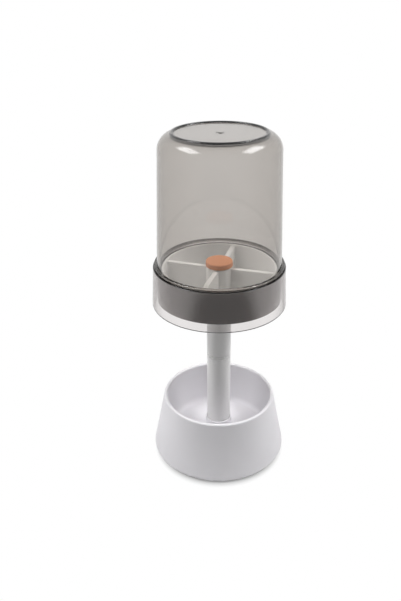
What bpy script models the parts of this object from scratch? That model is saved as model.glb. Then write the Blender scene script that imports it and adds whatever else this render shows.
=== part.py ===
"""Covered toothbrush holder: a stand with a round well, a post, a divided head and a lift-off cup.

Every piece is turned about the Z axis, except the divided insert, whose four walls cross at a hub.
Lengths are in metres, +Z is up, and the holder stands on the plane Z = 0.
"""

import math

import bmesh
import bpy
from mathutils import Matrix, Vector

MM = 0.001

# Fits shared by all pieces
SEAT_GAP = 0.3 * MM
WELD_DISTANCE = 0.0001 * MM

# Base shell: a sloping skirt and a round well moulded in one
FOOT_PROUD = 0.8 * MM
SHELL_HEIGHT = 43.0 * MM
SHELL_RIM_RADIUS = 39.8 * MM
SHELL_FLARE = 8.7 * MM
SHELL_WALL = 2.4 * MM
SHELL_EDGE_ROUND = 1.6 * MM
RIM_THICKNESS = 2.4 * MM
RIM_ROUND = 1.1 * MM
WELL_DRAFT = 1.0 * MM
WELL_WALL = 1.8 * MM
WELL_FLOOR_THICKNESS = 2.2 * MM
WELL_FILLET = 4.0 * MM
CAVITY_TOP_WIDTH = 1.2 * MM
SOCKET_HEIGHT = 11.5 * MM
SOCKET_WALL = 1.6 * MM
SOCKET_ROUND = 0.5 * MM

# Base plate, its rubber ring and the screw that holds plate, shell and post together
PLATE_THICKNESS = 3.0 * MM
PLATE_SEAT_WIDTH = 0.8 * MM
PLATE_EDGE_ROUND = 0.4 * MM
GROOVE_DEPTH = 1.4 * MM
RING_INSET = 3.9 * MM
RING_WIDTH = 5.0 * MM
RING_ROUND = 0.4 * MM
HEAD_SINK = 0.6 * MM
SCREW_RADIUS = 1.7 * MM
SCREW_HEAD_RADIUS = 3.4 * MM
SCREW_HEAD_HEIGHT = 2.4 * MM
SCREW_HEAD_ROUND = 0.7 * MM
SCREW_BITE = 6.0 * MM
SCREW_TIP_HEIGHT = 1.0 * MM
WASHER_RADIUS = 5.0 * MM
WASHER_THICKNESS = 0.8 * MM
PLATE_BOSS_WALL = 1.6 * MM
PLATE_BOSS_WEB = 3.3 * MM

# Post: two tubes and the coupler whose collar shows between them
POST_RADIUS = 8.4 * MM
POST_BORE_RADIUS = 6.3 * MM
POST_EDGE_ROUND = 0.35 * MM
LOWER_POST_LENGTH = 64.9 * MM
LOWER_POST_WEB = 8.0 * MM
COUPLER_COLLAR = 1.6 * MM
COUPLER_SPIGOT_LENGTH = 12.0 * MM
COUPLER_WALL = 2.0 * MM
UPPER_POST_LENGTH = 45.3 * MM
SPIGOT_RADIUS = 6.3 * MM
NUT_RADIUS = 4.5 * MM
NUT_SEAT = 0.3 * MM
NUT_LENGTH = 8.0 * MM
NUT_SINK = 0.4 * MM
NUT_GROOVE_DEPTH = 0.4 * MM
NUT_GROOVE_WIDTH = 1.2 * MM

# Divided insert: outer wall, hub and the crossing walls between them
INSERT_HEIGHT = 22.0 * MM
INSERT_RADIUS = 38.4 * MM
INSERT_WALL = 1.6 * MM
INSERT_ROUND = 0.5 * MM
LIP_THICKNESS = 1.4 * MM
LIP_WIDTH = 1.8 * MM
HUB_DROP = 0.5 * MM
HUB_WEB = 3.5 * MM
DIVIDER_COUNT = 4
DIVIDER_THICKNESS = 3.2 * MM
DIVIDER_ROUND = 0.5 * MM
DIVIDER_LIFT = 0.5 * MM
DIVIDER_DROP = 1.3 * MM

# Dark band round the insert and the clear collar that hangs on it
BAND_WALL = 1.0 * MM
BAND_WEB = 1.2 * MM
BAND_HEIGHT = 21.2 * MM
BAND_ROUND = 0.25 * MM
COLLAR_HEIGHT = 27.0 * MM
COLLAR_STANDOFF = 0.46 * MM
COLLAR_WALL = 2.0 * MM
COLLAR_FLARE = 1.40 * MM
COLLAR_LIP = 1.0 * MM
COLLAR_ROUND = 0.5 * MM

# Clamp knob and its stud
KNOB_RADIUS = 9.0 * MM
KNOB_HEIGHT = 3.6 * MM
KNOB_ROUND = 0.6 * MM
STUD_RADIUS = 2.9 * MM
STUD_HEAD_RADIUS = 4.4 * MM
STUD_HEAD_HEIGHT = 1.5 * MM
STUD_LENGTH = 11.0 * MM
STUD_POINT = 0.6 * MM

# Cover: an upturned tumbler with a flange, a skirt below it and a raised foot ring on top
COVER_HEIGHT = 87.0 * MM
COVER_MOUTH_STEP = 1.14 * MM
COVER_DRAFT = 2.89 * MM
COVER_WALL = 1.7 * MM
SHOULDER_ROUND = 10.3 * MM
SHOULDER_SINK = 0.5 * MM
COVER_TOP_THICKNESS = 1.8 * MM
FLANGE_INSET = 0.8 * MM
FLANGE_THICKNESS = 1.5 * MM
FLANGE_ROUND = 0.4 * MM
SKIRT_LENGTH = 12.0 * MM
FOOT_RING_INSET = 8.8 * MM
FOOT_RING_WIDTH = 2.4 * MM
FOOT_RING_HEIGHT = 0.9 * MM
FOOT_RING_ROUND = 0.8 * MM
NUB_RADIUS = 2.2 * MM
NUB_HEIGHT = 0.6 * MM

# Facets
LARGE_SEGMENTS = 48
SMALL_SEGMENTS = 24
EDGE_STEPS = 1
ROUND_STEPS = 2
WELL_STEPS = 4
SHOULDER_STEPS = 7
SMOOTH_ANGLE = math.radians(35.0)
FILLET_SHARE = 0.98

# Finishes: colour, roughness, metallic and alpha
FINISHES = {
    "white_matte": ((0.78, 0.78, 0.80), 0.55, 0.0, 1.0),
    "white_satin": ((0.74, 0.74, 0.73), 0.35, 0.0, 1.0),
    "dark_grey": ((0.060, 0.055, 0.052), 0.20, 0.0, 1.0),
    "smoke_clear": ((0.42, 0.40, 0.38), 0.06, 0.0, 0.45),
    "clear": ((0.92, 0.92, 0.92), 0.05, 0.0, 0.25),
    "terracotta": ((0.72, 0.30, 0.13), 0.45, 0.0, 1.0),
    "grey_rubber": ((0.10, 0.10, 0.10), 0.85, 0.0, 1.0),
    "steel": ((0.60, 0.60, 0.62), 0.30, 1.0, 1.0),
    "brass": ((0.78, 0.58, 0.26), 0.35, 1.0, 1.0),
}

# Heights inside the pieces that follow from the pieces they take
COUNTERBORE_CEILING = HEAD_SINK + SCREW_HEAD_HEIGHT + WASHER_THICKNESS + 2 * SEAT_GAP
BOSS_TOP = COUNTERBORE_CEILING + PLATE_BOSS_WEB
HUB_HEIGHT = INSERT_HEIGHT - HUB_DROP
DIVIDER_TOP = INSERT_HEIGHT - DIVIDER_DROP
SPIGOT_LENGTH = HUB_HEIGHT - HUB_WEB - SEAT_GAP
NUT_POCKET_DEPTH = NUT_SINK + NUT_LENGTH + SEAT_GAP
COVER_WALL_HEIGHT = COVER_HEIGHT - SHOULDER_ROUND - SHOULDER_SINK

# Levels worked out from the stack of pieces
RIM_Z = FOOT_PROUD + SHELL_HEIGHT
WELL_UNDERSIDE_Z = FOOT_PROUD + BOSS_TOP + SEAT_GAP
WELL_FLOOR_Z = WELL_UNDERSIDE_Z + WELL_FLOOR_THICKNESS
LOWER_POST_Z = WELL_FLOOR_Z + SEAT_GAP
COUPLER_COLLAR_Z = LOWER_POST_Z + LOWER_POST_LENGTH + SEAT_GAP
UPPER_POST_Z = COUPLER_COLLAR_Z + COUPLER_COLLAR + SEAT_GAP
HEAD_Z = UPPER_POST_Z + UPPER_POST_LENGTH + SEAT_GAP
KNOB_Z = HEAD_Z + HUB_HEIGHT + SEAT_GAP
BAND_TOP_Z = HEAD_Z + BAND_HEIGHT
COLLAR_TOP_Z = BAND_TOP_Z + SEAT_GAP + COLLAR_LIP
COVER_SEAT_Z = COLLAR_TOP_Z + SEAT_GAP

# Radii of the base, from the rim down to the plate and its ring
SHELL_BOTTOM_RADIUS = SHELL_RIM_RADIUS + SHELL_FLARE
SHELL_SLOPE = SHELL_FLARE / SHELL_HEIGHT
SKIRT_THICKNESS = SHELL_WALL * math.hypot(1.0, SHELL_SLOPE)
WELL_RIM_RADIUS = SHELL_RIM_RADIUS - RIM_THICKNESS
WELL_FLOOR_RADIUS = WELL_RIM_RADIUS - WELL_DRAFT
PLATE_SEAT = PLATE_THICKNESS + SEAT_GAP
PLATE_SEAT_RADIUS = SHELL_BOTTOM_RADIUS - SHELL_SLOPE * PLATE_SEAT - SKIRT_THICKNESS
PLATE_RADIUS = PLATE_SEAT_RADIUS + PLATE_SEAT_WIDTH - SEAT_GAP
RING_OUTER_RADIUS = PLATE_RADIUS - RING_INSET
RING_INNER_RADIUS = RING_OUTER_RADIUS - RING_WIDTH

# Radii worked out from the pieces that fit together
SCREW_HOLE_RADIUS = SCREW_RADIUS + SEAT_GAP
SOCKET_BORE_RADIUS = POST_RADIUS + SEAT_GAP
HUB_BORE_RADIUS = SPIGOT_RADIUS + SEAT_GAP
STUD_HOLE_RADIUS = STUD_RADIUS + SEAT_GAP
UPPER_BORE_RADIUS = NUT_RADIUS - NUT_SEAT
LIP_RADIUS = INSERT_RADIUS + LIP_WIDTH
BAND_INNER_RADIUS = LIP_RADIUS + SEAT_GAP
BAND_RADIUS = BAND_INNER_RADIUS + BAND_WALL
COLLAR_TOP_RADIUS = BAND_RADIUS + COLLAR_STANDOFF + COLLAR_WALL
COLLAR_BOTTOM_RADIUS = COLLAR_TOP_RADIUS + COLLAR_FLARE

# Radii of the cover, whose skirt fills the slot between insert and band
SKIRT_RADIUS = BAND_INNER_RADIUS - SEAT_GAP
SKIRT_INNER_RADIUS = INSERT_RADIUS + SEAT_GAP
FLANGE_RADIUS = COLLAR_TOP_RADIUS - FLANGE_INSET
COVER_MOUTH_RADIUS = SKIRT_RADIUS + COVER_MOUTH_STEP
COVER_WALL_TOP_RADIUS = COVER_MOUTH_RADIUS - COVER_DRAFT
FOOT_RING_RADIUS = COVER_WALL_TOP_RADIUS - FOOT_RING_INSET


def rounded(corners, steps=ROUND_STEPS, large=None):
    """Closed outline whose corners (radius, height, fillet) are turned into tangent arcs.

    An arc has the given number of steps, or WELL_STEPS where its fillet is the large one.
    """
    places = [Vector(corner[:2]) for corner in corners]
    reaches = fillet_reaches(places, [corner[2] for corner in corners])
    points = []
    count = len(corners)
    for index, corner in enumerate(places):
        if reaches[index] == 0:
            points.append(corner)
            continue
        before = (places[index - 1] - corner).normalized()
        after = (places[(index + 1) % count] - corner).normalized()
        half = before.angle(after) / 2
        centre = corner + (before + after).normalized() * reaches[index] / math.cos(half)
        start = corner + before * reaches[index]
        end = corner + after * reaches[index]
        cuts = WELL_STEPS if corners[index][2] == large else steps
        points.extend(arc_between(centre, start, end, cuts))
    return points


def fillet_reaches(places, fillets):
    """How far each fillet reaches along its two edges, limited where two meet on one wall."""
    count = len(places)
    wanted = []
    for index, corner in enumerate(places):
        turn = (places[index - 1] - corner).angle(places[(index + 1) % count] - corner)
        wanted.append(fillets[index] / math.tan(turn / 2))
    reaches = list(wanted)
    for index in range(count):
        both = wanted[index] + wanted[index - 1]
        room = (places[index] - places[index - 1]).length * FILLET_SHARE
        if both > room:
            reaches[index] = min(reaches[index], wanted[index] * room / both)
            reaches[index - 1] = min(reaches[index - 1], wanted[index - 1] * room / both)
    return reaches


def arc_between(centre, start, end, steps):
    """Points of the shorter arc about a centre from start to end."""
    first = start - centre
    last = end - centre
    turn = math.atan2(first.cross(last), first.dot(last))
    points = []
    for step in range(steps + 1):
        spin = Matrix.Rotation(turn * step / steps, 2)
        points.append(centre + spin @ first)
    return points


def make_material(name):
    """Principled material in one of the finishes."""
    colour, roughness, metallic, alpha = FINISHES[name]
    material = bpy.data.materials.new(name)
    material.use_nodes = True
    shader = material.node_tree.nodes["Principled BSDF"]
    shader.inputs["Base Color"].default_value = (*colour, 1.0)
    shader.inputs["Roughness"].default_value = roughness
    shader.inputs["Metallic"].default_value = metallic
    shader.inputs["Alpha"].default_value = alpha
    material.diffuse_color = (*colour, alpha)
    return material


def finish_mesh(name, bm, material):
    """Close the mesh, point its faces outwards and link it as one smooth-shaded object."""
    bmesh.ops.remove_doubles(bm, verts=bm.verts, dist=WELD_DISTANCE)
    bmesh.ops.recalc_face_normals(bm, faces=bm.faces)
    mesh = bpy.data.meshes.new(name)
    bm.to_mesh(mesh)
    bm.free()
    mesh.shade_smooth()
    mesh.set_sharp_from_angle(angle=SMOOTH_ANGLE)
    piece = bpy.data.objects.new(name, mesh)
    bpy.context.collection.objects.link(piece)
    if material is not None:
        mesh.materials.append(material)
    return piece


def turned(name, outline, material, segments=LARGE_SEGMENTS):
    """Solid of revolution about Z from a closed outline of (radius, height) points."""
    bm = bmesh.new()
    ring = [bm.verts.new((point[0], 0.0, point[1])) for point in outline]
    edges = [bm.edges.new((ring[index - 1], ring[index])) for index in range(len(ring))]
    bmesh.ops.spin(
        bm,
        geom=ring + edges,
        cent=(0.0, 0.0, 0.0),
        axis=(0.0, 0.0, 1.0),
        angle=math.tau,
        steps=segments,
        use_merge=True,
    )
    drop_axis_faces(bm)
    return finish_mesh(name, bm, material)


def drop_axis_faces(bm):
    """Remove what an outline's edge along the axis leaves behind when it is turned."""
    bmesh.ops.remove_doubles(bm, verts=bm.verts, dist=WELD_DISTANCE)
    loose = [edge for edge in bm.edges if not edge.link_faces]
    bmesh.ops.delete(bm, geom=loose, context="EDGES")


def extruded_bar(name, outline, start, end, material):
    """Bar along X from start to end whose section is a closed outline of (y, z) points."""
    bm = bmesh.new()
    section = [bm.verts.new((start, point[0], point[1])) for point in outline]
    face = bm.faces.new(section)
    swept = bmesh.ops.extrude_face_region(bm, geom=[face])
    moved = [item for item in swept["geom"] if isinstance(item, bmesh.types.BMVert)]
    bmesh.ops.translate(bm, verts=moved, vec=(end - start, 0.0, 0.0))
    return finish_mesh(name, bm, material)


def place(piece, parent, height):
    """Stand a piece on its parent empty, at a height in the holder's own frame."""
    piece.parent = parent
    piece.location = (0.0, 0.0, height - parent.location.z)
    return piece


def guide(piece):
    """Keep a helper solid out of the model: only a modifier uses it."""
    piece.hide_render = True
    piece.display_type = "WIRE"
    return piece


def add_empty(name, height):
    """Empty on the axis, where a group of pieces is carried."""
    empty = bpy.data.objects.new(name, None)
    empty.location = (0.0, 0.0, height)
    bpy.context.collection.objects.link(empty)
    return empty


def base_shell(material):
    """Skirt, rim, well and post socket, as one moulding that is open underneath."""
    floor = WELL_FLOOR_Z - FOOT_PROUD
    underside = WELL_UNDERSIDE_Z - FOOT_PROUD
    well_slope = WELL_DRAFT / (SHELL_HEIGHT - floor)
    # The two walls run together under the rim: the hollow ends where it is this narrow
    spare = CAVITY_TOP_WIDTH + SKIRT_THICKNESS + WELL_WALL - RIM_THICKNESS
    cavity_top = SHELL_HEIGHT - spare / (SHELL_SLOPE + well_slope)
    cavity_outer = SHELL_BOTTOM_RADIUS - SHELL_SLOPE * cavity_top - SKIRT_THICKNESS
    rebate = PLATE_SEAT_RADIUS + PLATE_SEAT_WIDTH
    socket = SOCKET_BORE_RADIUS + SOCKET_WALL
    outline = rounded([
        (SCREW_HOLE_RADIUS, underside, 0),
        (WELL_FLOOR_RADIUS + WELL_WALL, underside, WELL_FILLET),
        (cavity_outer - CAVITY_TOP_WIDTH, cavity_top, 0),
        (cavity_outer, cavity_top, 0),
        (PLATE_SEAT_RADIUS, PLATE_SEAT, 0),
        (rebate, PLATE_SEAT, 0),
        (rebate, 0, 0),
        (SHELL_BOTTOM_RADIUS, 0, SHELL_EDGE_ROUND),
        (SHELL_RIM_RADIUS, SHELL_HEIGHT, RIM_ROUND),
        (WELL_RIM_RADIUS, SHELL_HEIGHT, RIM_ROUND),
        (WELL_FLOOR_RADIUS, floor, WELL_FILLET),
        (socket, floor, SOCKET_ROUND),
        (socket, floor + SOCKET_HEIGHT, SOCKET_ROUND),
        (SOCKET_BORE_RADIUS, floor + SOCKET_HEIGHT, 0),
        (SOCKET_BORE_RADIUS, floor, 0),
        (SCREW_HOLE_RADIUS, floor, 0),
    ], large=WELL_FILLET)
    return turned("base_shell", outline, material)


def base_plate(material):
    """Plate that closes the shell, with a groove for the rubber ring and a boss for the screw."""
    counterbore = WASHER_RADIUS + SEAT_GAP
    boss = counterbore + PLATE_BOSS_WALL
    outline = rounded([
        (SCREW_HOLE_RADIUS, COUNTERBORE_CEILING, 0),
        (counterbore, COUNTERBORE_CEILING, 0),
        (counterbore, 0, PLATE_EDGE_ROUND),
        (RING_INNER_RADIUS - SEAT_GAP, 0, 0),
        (RING_INNER_RADIUS - SEAT_GAP, GROOVE_DEPTH, 0),
        (RING_OUTER_RADIUS + SEAT_GAP, GROOVE_DEPTH, 0),
        (RING_OUTER_RADIUS + SEAT_GAP, 0, 0),
        (PLATE_RADIUS, 0, PLATE_EDGE_ROUND),
        (PLATE_RADIUS, PLATE_THICKNESS, 0),
        (boss, PLATE_THICKNESS, 0),
        (boss, BOSS_TOP, PLATE_EDGE_ROUND),
        (SCREW_HOLE_RADIUS, BOSS_TOP, 0),
    ], steps=EDGE_STEPS)
    return turned("base_plate", outline, material)


def anti_slip_ring(material):
    """Rubber ring in the plate's groove, the only thing that touches the counter."""
    thickness = FOOT_PROUD + GROOVE_DEPTH - SEAT_GAP
    outline = rounded([
        (RING_INNER_RADIUS, 0, RING_ROUND),
        (RING_OUTER_RADIUS, 0, RING_ROUND),
        (RING_OUTER_RADIUS, thickness, 0),
        (RING_INNER_RADIUS, thickness, 0),
    ])
    return turned("anti_slip_ring", outline, material)


def screw_washer(material):
    """Flat washer under the screw's head."""
    outline = rounded([
        (SCREW_HOLE_RADIUS, 0, 0),
        (WASHER_RADIUS, 0, 0),
        (WASHER_RADIUS, WASHER_THICKNESS, 0),
        (SCREW_HOLE_RADIUS, WASHER_THICKNESS, 0),
    ])
    return turned("screw_washer", outline, material, SMALL_SEGMENTS)


def post_screw(material):
    """Pan-head screw that pulls plate, shell and lower post together from below."""
    grip = WELL_FLOOR_Z + SEAT_GAP - FOOT_PROUD - HEAD_SINK - SCREW_HEAD_HEIGHT
    tip = SCREW_HEAD_HEIGHT + grip + SCREW_BITE
    outline = rounded([
        (0, 0, 0),
        (SCREW_HEAD_RADIUS, 0, SCREW_HEAD_ROUND),
        (SCREW_HEAD_RADIUS, SCREW_HEAD_HEIGHT, 0),
        (SCREW_RADIUS, SCREW_HEAD_HEIGHT, 0),
        (SCREW_RADIUS, tip - SCREW_TIP_HEIGHT, 0),
        (0, tip, 0),
    ])
    return turned("post_screw", outline, material, SMALL_SEGMENTS)


def lower_post(material):
    """Tube from the socket up to the coupler, with a web that the screw bites into."""
    outline = rounded([
        (SCREW_HOLE_RADIUS, 0, 0),
        (POST_RADIUS, 0, 0),
        (POST_RADIUS, LOWER_POST_LENGTH, POST_EDGE_ROUND),
        (POST_BORE_RADIUS, LOWER_POST_LENGTH, 0),
        (POST_BORE_RADIUS, LOWER_POST_WEB, 0),
        (SCREW_HOLE_RADIUS, LOWER_POST_WEB, 0),
    ], steps=EDGE_STEPS)
    return turned("lower_post", outline, material, SMALL_SEGMENTS)


def post_coupler(material):
    """Sleeve that joins the tubes: its collar shows as a thin ring between two seams."""
    spigot = POST_BORE_RADIUS - SEAT_GAP
    bore = spigot - COUPLER_WALL
    outline = rounded([
        (bore, -COUPLER_SPIGOT_LENGTH, 0),
        (spigot, -COUPLER_SPIGOT_LENGTH, 0),
        (spigot, 0, 0),
        (POST_RADIUS, 0, 0),
        (POST_RADIUS, COUPLER_COLLAR, 0),
        (spigot, COUPLER_COLLAR, 0),
        (spigot, COUPLER_COLLAR + COUPLER_SPIGOT_LENGTH, 0),
        (bore, COUPLER_COLLAR + COUPLER_SPIGOT_LENGTH, 0),
    ])
    return turned("post_coupler", outline, material, SMALL_SEGMENTS)


def upper_post(material):
    """Tube up to the head, with a narrower spigot that enters the hub and holds the nut."""
    coupler_depth = COUPLER_SPIGOT_LENGTH + 2 * SEAT_GAP
    top = UPPER_POST_LENGTH + SPIGOT_LENGTH
    pocket = NUT_RADIUS + SEAT_GAP
    outline = rounded([
        (POST_BORE_RADIUS, 0, 0),
        (POST_RADIUS, 0, POST_EDGE_ROUND),
        (POST_RADIUS, UPPER_POST_LENGTH, 0),
        (SPIGOT_RADIUS, UPPER_POST_LENGTH, 0),
        (SPIGOT_RADIUS, top, POST_EDGE_ROUND),
        (pocket, top, 0),
        (pocket, top - NUT_POCKET_DEPTH, 0),
        (UPPER_BORE_RADIUS, top - NUT_POCKET_DEPTH, 0),
        (UPPER_BORE_RADIUS, coupler_depth, 0),
        (POST_BORE_RADIUS, coupler_depth, 0),
    ], steps=EDGE_STEPS)
    return turned("upper_post", outline, material, SMALL_SEGMENTS)


def post_nut(material):
    """Brass nut with a retaining groove, sunk in the spigot's end."""
    middle = NUT_LENGTH / 2
    waist = NUT_RADIUS - NUT_GROOVE_DEPTH
    outline = rounded([
        (STUD_HOLE_RADIUS, 0, 0),
        (NUT_RADIUS, 0, 0),
        (NUT_RADIUS, middle - NUT_GROOVE_WIDTH / 2, 0),
        (waist, middle - NUT_GROOVE_WIDTH / 2, 0),
        (waist, middle + NUT_GROOVE_WIDTH / 2, 0),
        (NUT_RADIUS, middle + NUT_GROOVE_WIDTH / 2, 0),
        (NUT_RADIUS, NUT_LENGTH, 0),
        (STUD_HOLE_RADIUS, NUT_LENGTH, 0),
    ])
    return turned("post_nut", outline, material, SMALL_SEGMENTS)


def insert_hub():
    """Hub that slips over the spigot, with a web that the knob clamps."""
    outline = rounded([
        (HUB_BORE_RADIUS, 0, 0),
        (POST_RADIUS, 0, 0),
        (POST_RADIUS, HUB_HEIGHT, INSERT_ROUND),
        (STUD_HOLE_RADIUS, HUB_HEIGHT, 0),
        (STUD_HOLE_RADIUS, HUB_HEIGHT - HUB_WEB, 0),
        (HUB_BORE_RADIUS, HUB_HEIGHT - HUB_WEB, 0),
    ])
    return guide(turned("guide_hub", outline, None, SMALL_SEGMENTS))


def insert_divider(index):
    """One wall from the hub to the outer wall, with a rounded top edge."""
    half = DIVIDER_THICKNESS / 2
    outline = rounded([
        (-half, DIVIDER_LIFT, 0),
        (half, DIVIDER_LIFT, 0),
        (half, DIVIDER_TOP, DIVIDER_ROUND),
        (-half, DIVIDER_TOP, DIVIDER_ROUND),
    ])
    start = (HUB_BORE_RADIUS + POST_RADIUS) / 2
    end = INSERT_RADIUS - INSERT_WALL / 2
    bar = extruded_bar(f"guide_divider_{index}", outline, start, end, None)
    bar.rotation_euler.z = math.tau * index / DIVIDER_COUNT
    return guide(bar)


def divider_insert(material):
    """Outer wall with a lip below it, joined to the hub by the crossing walls."""
    inner = INSERT_RADIUS - INSERT_WALL
    outline = rounded([
        (inner, 0, 0),
        (LIP_RADIUS, 0, 0),
        (LIP_RADIUS, LIP_THICKNESS, 0),
        (INSERT_RADIUS, LIP_THICKNESS, 0),
        (INSERT_RADIUS, INSERT_HEIGHT, INSERT_ROUND),
        (inner, INSERT_HEIGHT, INSERT_ROUND),
    ])
    insert = turned("divider_insert", outline, material)
    additions = [insert_divider(index) for index in range(DIVIDER_COUNT)]
    additions.append(insert_hub())
    for addition in additions:
        addition.parent = insert
        union = insert.modifiers.new(addition.name, "BOOLEAN")
        union.operation = "UNION"
        union.solver = "EXACT"
        union.object = addition
    return insert


def collar_band(material):
    """Dark sleeve that drops over the insert, and its web, which rests on the insert's lip."""
    web = LIP_THICKNESS + SEAT_GAP
    web_inner = INSERT_RADIUS + SEAT_GAP
    outline = rounded([
        (BAND_INNER_RADIUS, 0, 0),
        (BAND_RADIUS, 0, BAND_ROUND),
        (BAND_RADIUS, BAND_HEIGHT, BAND_ROUND),
        (BAND_INNER_RADIUS, BAND_HEIGHT, BAND_ROUND),
        (BAND_INNER_RADIUS, web + BAND_WEB, 0),
        (web_inner, web + BAND_WEB, 0),
        (web_inner, web, 0),
        (BAND_INNER_RADIUS, web, 0),
    ], steps=EDGE_STEPS)
    return turned("collar_band", outline, material)


def clear_collar(material):
    """Clear sleeve with an inner lip that hangs on the band's top edge."""
    bottom = -(COLLAR_HEIGHT - COLLAR_LIP)
    outline = rounded([
        (BAND_INNER_RADIUS, 0, 0),
        (COLLAR_TOP_RADIUS - COLLAR_WALL, 0, 0),
        (COLLAR_BOTTOM_RADIUS - COLLAR_WALL, bottom, COLLAR_ROUND),
        (COLLAR_BOTTOM_RADIUS, bottom, COLLAR_ROUND),
        (COLLAR_TOP_RADIUS, COLLAR_LIP, COLLAR_ROUND),
        (BAND_INNER_RADIUS, COLLAR_LIP, 0),
    ])
    return turned("clear_collar", outline, material)


def knob_stud(material):
    """Steel stud with a round head that is moulded into the knob."""
    outline = rounded([
        (0, -STUD_LENGTH, 0),
        (STUD_RADIUS - STUD_POINT, -STUD_LENGTH, 0),
        (STUD_RADIUS, -STUD_LENGTH + STUD_POINT, 0),
        (STUD_RADIUS, 0, 0),
        (STUD_HEAD_RADIUS, 0, 0),
        (STUD_HEAD_RADIUS, STUD_HEAD_HEIGHT, 0),
        (0, STUD_HEAD_HEIGHT, 0),
    ])
    return turned("knob_stud", outline, material, SMALL_SEGMENTS)


def clamp_knob(material):
    """Round finger knob with a pocket underneath for the stud's head."""
    pocket = STUD_HEAD_RADIUS + SEAT_GAP
    ceiling = STUD_HEAD_HEIGHT + SEAT_GAP
    outline = rounded([
        (0, ceiling, 0),
        (pocket, ceiling, 0),
        (pocket, 0, 0),
        (KNOB_RADIUS, 0, KNOB_ROUND),
        (KNOB_RADIUS, KNOB_HEIGHT, KNOB_ROUND),
        (0, KNOB_HEIGHT, 0),
    ])
    return turned("clamp_knob", outline, material)


def shoulder_arc(wall_radius, wall_top, round_radius, end_radius):
    """Arc of the cup's shoulder from its wall inwards to a radius, as seen from above."""
    centre = Vector((wall_radius - round_radius, wall_top))
    reach = max(end_radius - centre.x, 0)
    start = Vector((wall_radius, wall_top))
    end = centre + Vector((reach, math.sqrt(round_radius ** 2 - reach ** 2)))
    return arc_between(centre, start, end, SHOULDER_STEPS)


def cover_cup(material):
    """Upturned tumbler: skirt, flange, drafted wall, round shoulder and a foot ring on top."""
    ring_outer = FOOT_RING_RADIUS + FOOT_RING_WIDTH / 2
    ring_inner = FOOT_RING_RADIUS - FOOT_RING_WIDTH / 2
    face = COVER_HEIGHT - FOOT_RING_HEIGHT
    ceiling = face - COVER_TOP_THICKNESS
    inner_mouth = COVER_MOUTH_RADIUS - COVER_WALL
    inner_top = COVER_WALL_TOP_RADIUS - COVER_WALL
    inner_round = ceiling - COVER_WALL_HEIGHT
    lower = rounded([
        (SKIRT_INNER_RADIUS, -SKIRT_LENGTH, FLANGE_ROUND),
        (SKIRT_RADIUS, -SKIRT_LENGTH, FLANGE_ROUND),
        (SKIRT_RADIUS, 0, 0),
        (FLANGE_RADIUS, 0, FLANGE_ROUND),
        (FLANGE_RADIUS, FLANGE_THICKNESS, FLANGE_ROUND),
        (COVER_MOUTH_RADIUS, FLANGE_THICKNESS, 0),
        (COVER_WALL_TOP_RADIUS, COVER_WALL_HEIGHT, 0),
        (inner_top, COVER_WALL_HEIGHT, 0),
        (inner_mouth, FLANGE_THICKNESS, 0),
        (SKIRT_INNER_RADIUS, 0, 0),
    ])
    wall_top = Vector((COVER_WALL_TOP_RADIUS, COVER_WALL_HEIGHT))
    split = next(i for i, point in enumerate(lower) if (point - wall_top).length < WELD_DISTANCE)
    shoulder = shoulder_arc(COVER_WALL_TOP_RADIUS, COVER_WALL_HEIGHT, SHOULDER_ROUND, ring_outer)
    crest = rounded([
        (ring_outer, shoulder[-1].y, 0),
        (ring_outer - FOOT_RING_ROUND / 2, COVER_HEIGHT, FOOT_RING_ROUND),
        (ring_inner + FOOT_RING_ROUND / 2, COVER_HEIGHT, FOOT_RING_ROUND),
        (ring_inner, face, 0),
    ])
    nub = [
        Vector((NUB_RADIUS, face)),
        Vector((NUB_RADIUS, face + NUB_HEIGHT)),
        Vector((0, face + NUB_HEIGHT)),
    ]
    inner_shoulder = shoulder_arc(inner_top, COVER_WALL_HEIGHT, inner_round, 0)
    inside = [Vector((0, ceiling))] + inner_shoulder[:0:-1]
    outline = lower[:split] + shoulder + crest[1:] + nub + inside + lower[split + 1:]
    return turned("cover_cup", outline, material)


def clear_scene():
    """Start from an empty scene."""
    for item in list(bpy.data.objects):
        bpy.data.objects.remove(item, do_unlink=True)


def build():
    """Make every piece and stand it where it belongs."""
    clear_scene()
    finish = {name: make_material(name) for name in FINISHES}
    stand = add_empty("stand_axis", 0.0)
    head = add_empty("head_seat", HEAD_Z)
    knob_axis = add_empty("knob_axis", KNOB_Z)
    cover_seat = add_empty("cover_seat", COVER_SEAT_Z)

    place(base_shell(finish["white_matte"]), stand, FOOT_PROUD)
    place(base_plate(finish["white_matte"]), stand, FOOT_PROUD)
    place(anti_slip_ring(finish["grey_rubber"]), stand, 0.0)
    place(post_screw(finish["steel"]), stand, FOOT_PROUD + HEAD_SINK)
    washer_height = FOOT_PROUD + HEAD_SINK + SCREW_HEAD_HEIGHT + SEAT_GAP
    place(screw_washer(finish["steel"]), stand, washer_height)
    place(lower_post(finish["white_satin"]), stand, LOWER_POST_Z)
    place(post_coupler(finish["white_satin"]), stand, COUPLER_COLLAR_Z)
    place(upper_post(finish["white_satin"]), stand, UPPER_POST_Z)
    nut_height = HEAD_Z - SEAT_GAP + SPIGOT_LENGTH - NUT_SINK - NUT_LENGTH
    place(post_nut(finish["brass"]), stand, nut_height)
    place(divider_insert(finish["white_satin"]), head, HEAD_Z)
    place(collar_band(finish["dark_grey"]), head, HEAD_Z)
    place(clear_collar(finish["clear"]), head, BAND_TOP_Z + SEAT_GAP)
    place(knob_stud(finish["steel"]), knob_axis, KNOB_Z)
    place(clamp_knob(finish["terracotta"]), knob_axis, KNOB_Z)
    place(cover_cup(finish["smoke_clear"]), cover_seat, COVER_SEAT_Z)


build()
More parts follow.
